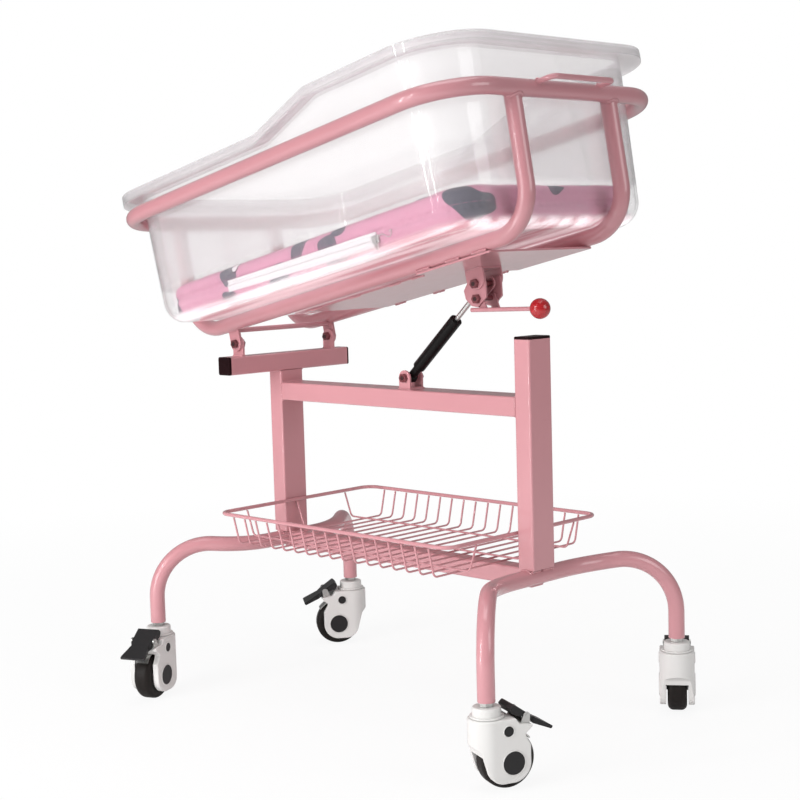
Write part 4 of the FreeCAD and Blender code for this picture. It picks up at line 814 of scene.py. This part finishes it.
# --- Mattress ----------------------------------------------------------------
# A foam pad in a wipe-clean cover of rose pink with dark spots. Its two panels are sewn
# together round the side, and a white zip along the near side closes them.

PAD_ENDS, PAD_HALF = (-0.060, 0.639), 0.2015
PAD_CORNER, PAD_CORNER_LEAST, CORNER_STEPS = 0.055, 0.004, 8
PAD_BASE, PAD_THICK = 0.0521, 0.0540
PAD_LOWER_ROUND, PAD_UPPER_ROUND, ROUND_STEPS = 0.018, 0.012, 6
COVER_VOXEL = 0.006
PAD_SWELL, SWELL_FRAMES = 0.0045, 20
# The tub's floor, and the rounds between it and the walls: where each round's middle
# lies along y or x, its height, and its radius.
TUB_FLOOR = 0.0501
TUB_SIDE_ROUND = (0.1785, 0.0828, 0.0324)
TUB_END_ROUNDS = ((0.600, 0.0988, 0.0484), (-0.027, 0.0988, 0.0484))
SEAM_LEVELS = (0.0835, 0.0775)
SEAM_BAND, SEAM_DEPTH, SEAM_HALF = 0.02, 0.0022, 0.0035
PUCKER_DEPTH, PUCKER_HALF, PUCKER_WAVES = 0.0006, 0.009, (420.0, 390.0)
COVER_PINK, COVER_SHADE = (0.570, 0.240, 0.350), (0.500, 0.190, 0.295)
SPOT_SLATE, SPOT_SCALE, SPOT_RANDOM, SPOT_RADIUS = (0.062, 0.058, 0.088), 12.5, 0.6, 0.37
WOBBLE_SCALE, WOBBLE = 17.0, (0.05, 0.05, 0.05)
DOT_LINE, DOT_WHITE = (0.030, 0.020, 0.028), (0.80, 0.76, 0.78)
DOT_SCALE, DOTS_LEFT_OUT, DOT_RADIUS, DOT_LINE_RADIUS = 13.0, 0.35, 0.105, 0.135


def pad_outline(inset, level):
    """One level of the foam pad: a rectangle with round corners, as points."""
    corner = max(PAD_CORNER - inset, PAD_CORNER_LEAST)
    foot, head = PAD_ENDS[0] + inset + corner, PAD_ENDS[1] - inset - corner
    near, far = -PAD_HALF + inset + corner, PAD_HALF - inset - corner
    points = []
    for x, y, start in ((head, near, -90), (head, far, 0), (foot, far, 90), (foot, near, 180)):
        for step in range(CORNER_STEPS + 1):
            turn = math.radians(start + step * 90 / CORNER_STEPS)
            points.append((x + corner * math.cos(turn), y + corner * math.sin(turn), level))
    return points


def pad_block():
    """The pad with plain rounded edges, from rings that go up its side."""
    rings = []
    for step in range(ROUND_STEPS + 1):
        turn = math.radians(step * 90 / ROUND_STEPS)
        rise = PAD_LOWER_ROUND * (1 - math.cos(turn))
        rings.append(pad_outline(PAD_LOWER_ROUND * (1 - math.sin(turn)), PAD_BASE + rise))
    top = PAD_BASE + PAD_THICK
    for step in range(ROUND_STEPS, -1, -1):
        turn = math.radians(step * 90 / ROUND_STEPS)
        drop = PAD_UPPER_ROUND * (1 - math.cos(turn))
        rings.append(pad_outline(PAD_UPPER_ROUND * (1 - math.sin(turn)), top - drop))
    count = len(rings[0])
    points = [point for ring in rings for point in ring]
    faces = [tuple(reversed(range(count))), tuple(range(len(points) - count, len(points)))]
    for level in range(len(rings) - 1):
        low, high = level * count, (level + 1) * count
        for i in range(count):
            j = (i + 1) % count
            faces.append((low + i, low + j, high + j, high + i))
    mesh = bpy.data.meshes.new("mattress_cover")
    mesh.from_pydata(points, [], faces)
    return mesh


def between(ends, share):
    return ends[0] + (ends[1] - ends[0]) * share


def seam_level(x):
    """The seam's height over the hinge line; it drops towards the head end."""
    return between(SEAM_LEVELS, (x - PAD_ENDS[0]) / (PAD_ENDS[1] - PAD_ENDS[0]))


def swell(holder):
    """Presses the cover out with air, as foam does, and keeps each point near its place."""
    before = [v.co.copy() for v in holder.data.vertices]
    cloth = holder.modifiers.new("cover", "CLOTH")
    cloth.settings.quality = 4
    cloth.settings.mass = 0.25
    cloth.settings.tension_stiffness = 12
    cloth.settings.compression_stiffness = 12
    cloth.settings.bending_stiffness = 0.4
    cloth.settings.use_pressure = True
    cloth.settings.uniform_pressure_force = 4.0
    cloth.settings.effector_weights.gravity = 0.0
    cloth.point_cache.frame_start, cloth.point_cache.frame_end = 1, SWELL_FRAMES
    for moment in range(1, SWELL_FRAMES + 1):
        scene.frame_set(moment)
    mesh = applied(holder)
    scene.frame_set(1)
    for vertex, start in zip(mesh.vertices, before):
        shift = vertex.co - start
        if shift.length > PAD_SWELL:
            vertex.co = start + shift * (PAD_SWELL / shift.length)


def keep_in_tub(mesh):
    """The cover lies against the tub's floor and its rounded lower corners."""
    y_middle, z_side, side_radius = TUB_SIDE_ROUND
    for vertex in mesh.vertices:
        x, y, z = vertex.co
        z = max(z, TUB_FLOOR)
        aside = abs(y) - y_middle
        if aside > 0 and z < z_side:
            reach = math.hypot(aside, z_side - z)
            if reach > side_radius:
                y = math.copysign(y_middle + aside * side_radius / reach, y)
                z = z_side - (z_side - z) * side_radius / reach
        for x_middle, z_end, end_radius in TUB_END_ROUNDS:
            beyond = x - x_middle if x_middle > 0 else x_middle - x
            if beyond > 0 and z < z_end:
                reach = math.hypot(beyond, z_end - z)
                if reach > end_radius:
                    x = x_middle + (x - x_middle) * end_radius / reach
                    z = z_end - (z_end - z) * end_radius / reach
        vertex.co = (x, y, z)


def sew_seam(mesh):
    """Sinks a puckered groove along the seam, round the pad's sides and ends."""
    outward = [vertex.normal.copy() for vertex in mesh.vertices]
    for vertex, normal in zip(mesh.vertices, outward):
        x, y, z = vertex.co
        past_sides = abs(y) - (PAD_HALF - SEAM_BAND)
        past_ends = max(x - (PAD_ENDS[1] - SEAM_BAND), PAD_ENDS[0] + SEAM_BAND - x)
        if max(past_sides, past_ends) > 0:
            off = z - seam_level(x)
            wave = math.sin(x * PUCKER_WAVES[0] + y * PUCKER_WAVES[1])
            groove = SEAM_DEPTH * math.exp(-((off / SEAM_HALF) ** 2))
            pucker = PUCKER_DEPTH * wave * math.exp(-((off / PUCKER_HALF) ** 2))
            vertex.co -= normal * (groove + pucker)


def make_cover():
    holder = in_scene("mattress_cover", pad_block())
    remesh = holder.modifiers.new("even", "REMESH")
    remesh.mode, remesh.voxel_size = "VOXEL", COVER_VOXEL
    applied(holder)
    swell(holder)
    smooth = holder.modifiers.new("smooth", "SUBSURF")
    smooth.levels = smooth.render_levels = 1
    mesh = applied(holder)
    sew_seam(mesh)
    keep_in_tub(mesh)
    return holder, mesh


def make_cover_material():
    """Rose pink weave with scattered slate spots and small white dots in dark rings."""
    made = skin_material(
        "mattress_cover", COVER_PINK, COVER_SHADE,
        roughness=0.60, grain=1500.0, relief=0.35, uneven=0.3,
        Sheen_Weight=0.15, Sheen_Roughness=0.5,
    )
    tree = made.node_tree
    shader = tree.nodes["Principled BSDF"]
    base = shader.inputs["Base Color"].links[0].from_socket
    place = node(tree, "ShaderNodeTexCoord").outputs["Object"]
    shifted = node(
        tree, "ShaderNodeVectorMath",
        {0: noise(tree, place, WOBBLE_SCALE, detail=0.0)["Color"], 1: WOBBLE, 2: place},
        operation="MULTIPLY_ADD",
    )
    cells = node(
        tree, "ShaderNodeTexVoronoi",
        {"Vector": shifted.outputs[0], "Scale": SPOT_SCALE, "Randomness": SPOT_RANDOM},
        feature="F1",
    )
    spot = math_node(tree, "LESS_THAN", cells.outputs["Distance"], SPOT_RADIUS)
    small = node(
        tree, "ShaderNodeTexVoronoi", {"Vector": place, "Scale": DOT_SCALE, "Randomness": 1.0},
        feature="F1",
    )
    chance = node(tree, "ShaderNodeSeparateColor", {0: small.outputs["Color"]}).outputs[0]
    chosen = math_node(tree, "GREATER_THAN", chance, DOTS_LEFT_OUT)
    disc = math_node(tree, "LESS_THAN", small.outputs["Distance"], DOT_RADIUS)
    outline = math_node(tree, "LESS_THAN", small.outputs["Distance"], DOT_LINE_RADIUS)
    disc = math_node(tree, "MULTIPLY", disc, chosen)
    outline = math_node(tree, "MULTIPLY", outline, chosen)
    colour = base
    for mask, paint in ((spot, SPOT_SLATE), (outline, DOT_LINE), (disc, DOT_WHITE)):
        colour = mixed(tree, mask, colour, (*paint, 1))
    tree.links.new(colour, shader.inputs["Base Color"])
    return made


cover_holder, cover_mesh = make_cover()
cover_surface = BVHTree.FromPolygons(
    [v.co.copy() for v in cover_mesh.vertices], [tuple(p.vertices) for p in cover_mesh.polygons]
)
cover_mesh.transform(CRADLE_PLACE)
cover_mesh.shade_smooth()
cover_mesh.materials.clear()
cover_mesh.materials.append(make_cover_material())
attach(cover_holder, "mattress")
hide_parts("mattress")

# --- Cover seam --------------------------------------------------------------
# One row of thread in the cover's own pink joins the two panels, in stitches of three
# millimetres that lie along the upper edge of the seam's groove.

MIDLINE_SHORT = 0.08
SEAM_SEEN_FROM, SEAM_STEP = 0.03, 0.012
THREAD_ABOVE, THREAD_OUT = 0.0045, 0.0002


def on_cover(x, y, z, out):
    """Where a level look from outside meets the cover, moved out along its normal."""
    start = Vector((x, y, z))
    midline_x = min(max(x, PAD_ENDS[0] + MIDLINE_SHORT), PAD_ENDS[1] - MIDLINE_SHORT)
    towards = Vector((midline_x, 0.0, z)) - start
    spot, normal, _, _ = cover_surface.ray_cast(start, towards.normalized())
    return spot + normal * out


def seam_line():
    outline = pad_outline(-SEAM_SEEN_FROM, 0.0)
    line = []
    for (x0, y0, _), (x1, y1, _) in zip(outline, outline[1:] + outline[:1]):
        steps = max(1, int(math.hypot(x1 - x0, y1 - y0) / SEAM_STEP))
        for i in range(steps):
            x, y = x0 + (x1 - x0) * i / steps, y0 + (y1 - y0) * i / steps
            line.append(on_cover(x, y, seam_level(x) + THREAD_ABOVE, THREAD_OUT))
    return line + line[:1]


thread = skin_material(
    "pink_thread", (0.50, 0.16, 0.29), (0.38, 0.10, 0.20),
    roughness=0.55, grain=2500.0, relief=0.4, dulling=0.1,
)
stitches = bead_rows(
    "cover_stitches", [seam_line()], thread, spacing=0.0042, length=0.0033, width=0.0008,
    height=0.0008, uneven=0.1, seed=7, place=CRADLE_PLACE,
)
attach(stitches, "mattress")

# --- Zip ---------------------------------------------------------------------
# A white woven tape sewn over the cover's near side, with a fine coil of teeth along its
# middle, and at its head end a plated slider with a flat pull and a curled wire.

ZIP_ENDS = (0.115, 0.457)
ZIP_UPPER, ZIP_LOWER = (0.0850, 0.0815), (0.0675, 0.0595)
ZIP_SEEN_FROM = -0.24
TAPE_PROUD, TAPE_THICK = 0.0013, 0.0012
TAPE_COLUMNS, TAPE_ROWS = 80, 16
TAPE_RIB, TAPE_HALF_RIBS = 0.00035, 8
TEETH_STEPS, TEETH_PROUD = 60, 0.0004
SLIDER_OUT = 0.0024
SLIDER_PARTS = (  # name, size, rounded edge and its steps, shift from the slider, turn
    ("zip_slider", (0.0145, 0.0036, 0.0115), 0.0014, 3, (0, 0, 0), 0),
    ("zip_bridge", (0.0070, 0.0020, 0.0022), 0.0007, 2, (0, -0.0022, 0), 0),
    ("zip_pull", (0.0062, 0.0013, 0.0170), 0.0005, 2, (0.002, -0.0028, -0.0085), -24),
)
WIRE_RADIUS, WIRE_OUT = 0.0006, 0.0016
WIRE_CURL = (  # along x and z from the slider
    (0.006, 0.002), (0.012, 0.005), (0.019, 0.002), (0.025, -0.003), (0.031, -0.001),
    (0.034, 0.005), (0.030, 0.008), (0.028, 0.004),
)


def zip_point(along, across, out):
    """A point of the zip, from its foot end and from its lower edge, both 0 to 1."""
    edges = between(ZIP_LOWER, along), between(ZIP_UPPER, along)
    return on_cover(between(ZIP_ENDS, along), ZIP_SEEN_FROM, between(edges, across), out)


def make_tape():
    points, faces = [], []
    for i in range(TAPE_COLUMNS + 1):
        for j in range(TAPE_ROWS + 1):
            rib = TAPE_RIB * math.cos(j / TAPE_ROWS * math.pi * TAPE_HALF_RIBS)
            points.append(zip_point(i / TAPE_COLUMNS, j / TAPE_ROWS, TAPE_PROUD + rib))
    for i in range(TAPE_COLUMNS):
        for j in range(TAPE_ROWS):
            here, next_column = i * (TAPE_ROWS + 1) + j, (i + 1) * (TAPE_ROWS + 1) + j
            faces.append((here, next_column, next_column + 1, here + 1))
    mesh = bpy.data.meshes.new("zip_tape")
    mesh.from_pydata(points, [], faces)
    holder = in_scene("zip_tape", mesh)
    wall = holder.modifiers.new("wall", "SOLIDIFY")
    wall.thickness, wall.offset = TAPE_THICK, -1.0
    applied(holder)
    return holder


def place_on_mattress(holder, material):
    """Moves a piece made along the cradle to where the mattress lies."""
    holder.data.transform(CRADLE_PLACE)
    holder.data.materials.clear()
    holder.data.materials.append(material)
    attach(holder, "mattress")


tape_white = skin_material(
    "tape_white", (0.74, 0.70, 0.72), (0.64, 0.60, 0.62),
    roughness=0.55, grain=1800.0, relief=0.5, dulling=0.1, Sheen_Weight=0.1,
)
tape = make_tape()
tape.data.shade_smooth()
place_on_mattress(tape, tape_white)
teeth_line = [
    zip_point(i / TEETH_STEPS, 0.5, TAPE_PROUD + TEETH_PROUD) for i in range(TEETH_STEPS + 1)
]
teeth = bead_rows(
    "zip_teeth", [teeth_line], tape_white, spacing=0.0014, length=0.0009, width=0.0008,
    height=0.0030, uneven=0.0, place=CRADLE_PLACE,
)
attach(teeth, "mattress")
slider_at = zip_point(1.0, 0.5, SLIDER_OUT)


def soft_block(name, size, edge, steps):
    """A block with rounded edges, about its own middle."""
    work = bmesh.new()
    bmesh.ops.create_cube(work, size=1.0)
    bmesh.ops.scale(work, vec=size, verts=work.verts)
    holder = in_scene(name, finished_mesh(name, work))
    bevel = holder.modifiers.new("edge", "BEVEL")
    bevel.width, bevel.segments = edge, steps
    applied(holder)
    return holder


def make_pull_wire():
    """A short wire that curls away from the slider along the cover."""
    x, _, z = slider_at
    curl = [on_cover(x + dx, ZIP_SEEN_FROM, z + dz, WIRE_OUT) for dx, dz in WIRE_CURL]
    route = [slider_at] + curl
    line = bpy.data.curves.new("pull_wire", "CURVE")
    line.dimensions = "3D"
    line.bevel_depth, line.bevel_resolution, line.resolution_u = WIRE_RADIUS, 3, 6
    line.use_fill_caps = True
    path = line.splines.new("NURBS")
    path.points.add(len(route) - 1)
    for point, spot in zip(path.points, route):
        point.co = (*spot, 1)
    path.order_u, path.use_endpoint_u = 3, True
    maker = in_scene("pull_wire_line", line)
    graph = bpy.context.evaluated_depsgraph_get()
    mesh = bpy.data.meshes.new_from_object(maker.evaluated_get(graph))
    bpy.data.objects.remove(maker)
    mesh.name = "pull_wire"
    mesh.shade_smooth()
    return in_scene("pull_wire", mesh)


for name, size, edge, steps, shift, turn in SLIDER_PARTS:
    block = soft_block(name, size, edge, steps)
    place = Matrix.Translation(slider_at + Vector(shift))
    block.data.transform(place @ Matrix.Rotation(math.radians(turn), 4, "Y"))
    place_on_mattress(block, bright_steel)
place_on_mattress(make_pull_wire(), bright_steel)
